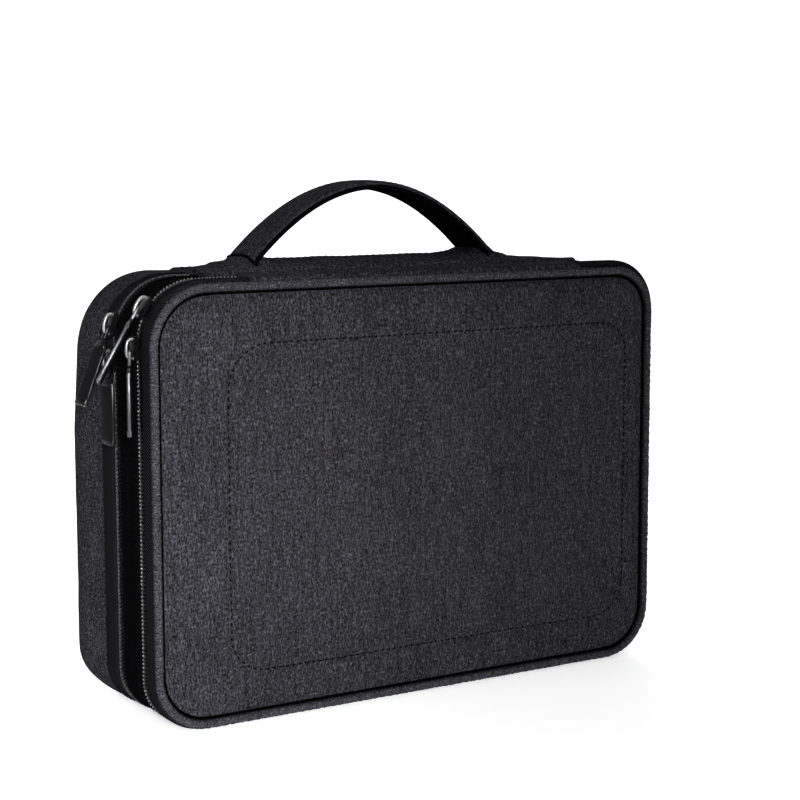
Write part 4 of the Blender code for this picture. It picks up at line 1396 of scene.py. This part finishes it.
def binding(name, points, wide, thick, way, body, nodes=()):
    """A flat elastic binding along points, wide across way."""
    points, way = np.asarray(points, float), np.asarray(way, float)
    turns = np.arange(16) / 16 * 2 * np.pi
    across = np.sign(np.cos(turns)) * np.abs(np.cos(turns)) ** 0.4 * wide / 2
    up = np.sign(np.sin(turns)) * np.abs(np.sin(turns)) ** 0.6 * thick / 2
    other = np.array([0, 1.0, 0])
    ring = points[:, None] + across[None, :, None] * way + up[None, :, None] * other
    s = lengths_along(points)
    piece = outward(grid_mesh(name, ring, s, turns * wide / 4, False, True, True))
    return finish_piece(piece, ELASTIC, body, nodes)


def lid_inside():
    """Lining, pockets, bindings and elastic bands inside the lid."""
    low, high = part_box("lid_lining")
    shape = inset_shape(4.6 * MM)
    padded_panel("lid_lining_fabric", shape, low.y - 0.2 * MM, high.y - 0.1 * MM, 5 * MM, LINING,
                 "front_lid", ("lid_lining", "lid_padding"), 0.5 * MM, 6 * MM, 23)
    for name in ("left", "middle", "right"):
        net_pocket(f"lid_pocket_{name}_mesh", f"lid_pocket_{name}", "front_lid", 1.4 * MM, 1)
        a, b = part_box(f"lid_pocket_{name}")
        x = np.linspace(a.x, b.x, 25)
        y = b.y + 0.1 * MM + 1.2 * MM * np.sin(np.pi * (x - a.x) / (b.x - a.x))
        path = np.stack([x, y, np.full(len(x), b.z)], -1)
        binding(f"lid_pocket_{name}_mouth", path, 4 * MM, 0.8 * MM, (0, 0, 1), "front_lid")
    for name in ("left", "right"):
        a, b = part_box(f"lid_pocket_binding_{name}")
        z = np.linspace(a.z, b.z, 40)
        path = np.stack([np.full(40, (a.x + b.x) / 2), np.full(40, (a.y + b.y) / 2), z], -1)
        binding(f"lid_binding_{name}", path, b.x - a.x + 0.6 * MM, 1.2 * MM, (1, 0, 0), "front_lid",
                (f"lid_pocket_binding_{name}",))
    for name in ("low", "high"):
        elastic(f"lid_elastic_{name}_band", f"lid_elastic_{name}", "front_lid", 2, -0.9 * MM)
    rim_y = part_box("lid_band")[1].y
    inner_band("lid_rim_binding", rim_y - 3.2 * MM, rim_y - 0.4 * MM, -1.5 * MM, 2.6 * MM, BAND, "front_lid")
    inner_band("lid_wall_lining", low.y - 0.3 * MM, rim_y - 1.2 * MM, -1.6 * MM, 2.9 * MM, LINING,
               "front_lid")


def middle_inside():
    """Padded partition, cable loops and pocket of the middle leaf."""
    low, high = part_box("middle_partition")
    shape = inset_shape(2.2 * MM)
    middle = (low.y + high.y) / 2
    padded_panel("partition_front_fabric", shape, middle - 0.4 * MM, low.y - 0.1 * MM, 9 * MM, PAD,
                 "middle_leaf", ("middle_partition", "middle_band_lining"), 0.7 * MM, 6 * MM, 27)
    padded_panel("partition_back_fabric", shape, middle + 0.4 * MM, high.y + 0.1 * MM, 9 * MM, PAD,
                 "middle_leaf", (), 0.7 * MM, 6 * MM, 28)
    y0, y1 = depths("middle_band")
    for name, a, b in (("front", y0 + 1.2 * MM, middle), ("back", middle, y1 - 0.4 * MM)):
        inner_band(f"middle_wall_lining_{name}", a, b, -1.65 * MM, 1.3 * MM, LINING, "middle_leaf")
    for name in ("low", "middle", "high"):
        elastic(f"partition_loops_{name}", f"partition_elastic_{name}", "middle_leaf", 7, 2.2 * MM)
    net_pocket("partition_pocket_mesh", "partition_pocket", "middle_leaf", 1.5 * MM, -1)
    a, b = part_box("partition_pocket")
    x = np.linspace(a.x, b.x, 25)
    path = np.stack([x, a.y - 1.4 * MM * np.sin(np.pi * (x - a.x) / (b.x - a.x)), np.full(25, b.z)], -1)
    binding("partition_pocket_mouth", path, 5 * MM, 0.9 * MM, (0, 0, 1), "middle_leaf")


# ---------------------------------------------------------------- stage

def area_light(name, at, target, size, power, spread=180):
    data = bpy.data.lights.new(name, "AREA")
    data.shape = "DISK"
    data.size = size
    data.energy = power
    data.spread = math.radians(spread)
    light = bpy.data.objects.new(name, data)
    bpy.context.scene.collection.objects.link(light)
    light.location = at
    light.rotation_mode = "QUATERNION"
    light.rotation_quaternion = (Vector(target) - Vector(at)).to_track_quat("-Z", "Y")


def stage_plane(name, at, turn, tones, rough, glow):
    """A large pale plane with a faint tone and a little light of its own."""
    bpy.ops.mesh.primitive_plane_add(size=9, location=at, rotation=turn)
    plane = bpy.context.object
    plane.name = name
    m = Finish("pale_" + name)
    place = m.node("TexCoord").outputs["Object"]
    tone = m.node("TexNoise", {"Vector": place, "Scale": 3.0}).outputs["Fac"]
    m.set(Base_Color=m.mix(tone, *((level,) * 3 for level in tones)), Roughness=rough,
          Emission_Color=(1, 1, 1, 1), Emission_Strength=glow)
    plane.data.materials.append(m.material)


def stage():
    """A pale floor, a white backdrop and soft light."""
    stage_plane("floor", (0, 0, -0.0005), (0, 0, 0), (0.86, 0.9), 0.7, FLOOR_GLOW)
    upright = (math.pi / 2, 0, math.radians(-32))
    stage_plane("backdrop", (2.2, 3.5, 0), upright, (0.88, 0.92), 0.9, BACKDROP_GLOW)

    world = bpy.data.worlds.new("studio")
    bpy.context.scene.world = world
    world.use_nodes = True
    tree = world.node_tree
    tree.nodes["Background"].inputs[0].default_value = (1, 1, 1, 1)
    tree.nodes["Background"].inputs[1].default_value = WORLD_LIGHT
    bpy.context.scene.view_settings.view_transform = "Standard"

    area_light("key", (-0.6, -1.25, 0.45), (-0.17, -0.04, 0.095), 0.3, KEY_POWER, 20)
    area_light("top", (-0.2, -0.2, 1.5), (0, 0, 0), 1.0, TOP_POWER)
    area_light("back", (0.7, 1.4, 0.8), (0, 0, 0.1), 1.0, BACK_POWER)


def camera():
    """The view from the left of the front, a little above the middle."""
    data = bpy.data.cameras.new("camera")
    data.sensor_width = 36
    data.lens = CAMERA_LENS
    data.clip_start = 0.01
    view = bpy.data.objects.new("camera", data)
    bpy.context.scene.collection.objects.link(view)
    right, forward = Vector(CAMERA_RIGHT), Vector(CAMERA_FORWARD)
    turn = Matrix((right, right.cross(forward), -forward)).transposed()
    view.matrix_world = Matrix.Translation(CAMERA_AT) @ turn.to_4x4()
    bpy.context.scene.camera = view


camera()
stage()
lid_shell()
middle_shell()
rear_shell()
zips()
top_fabric()
handle()
slider_sets()
tray_lining()
middle_inside()
lid_inside()
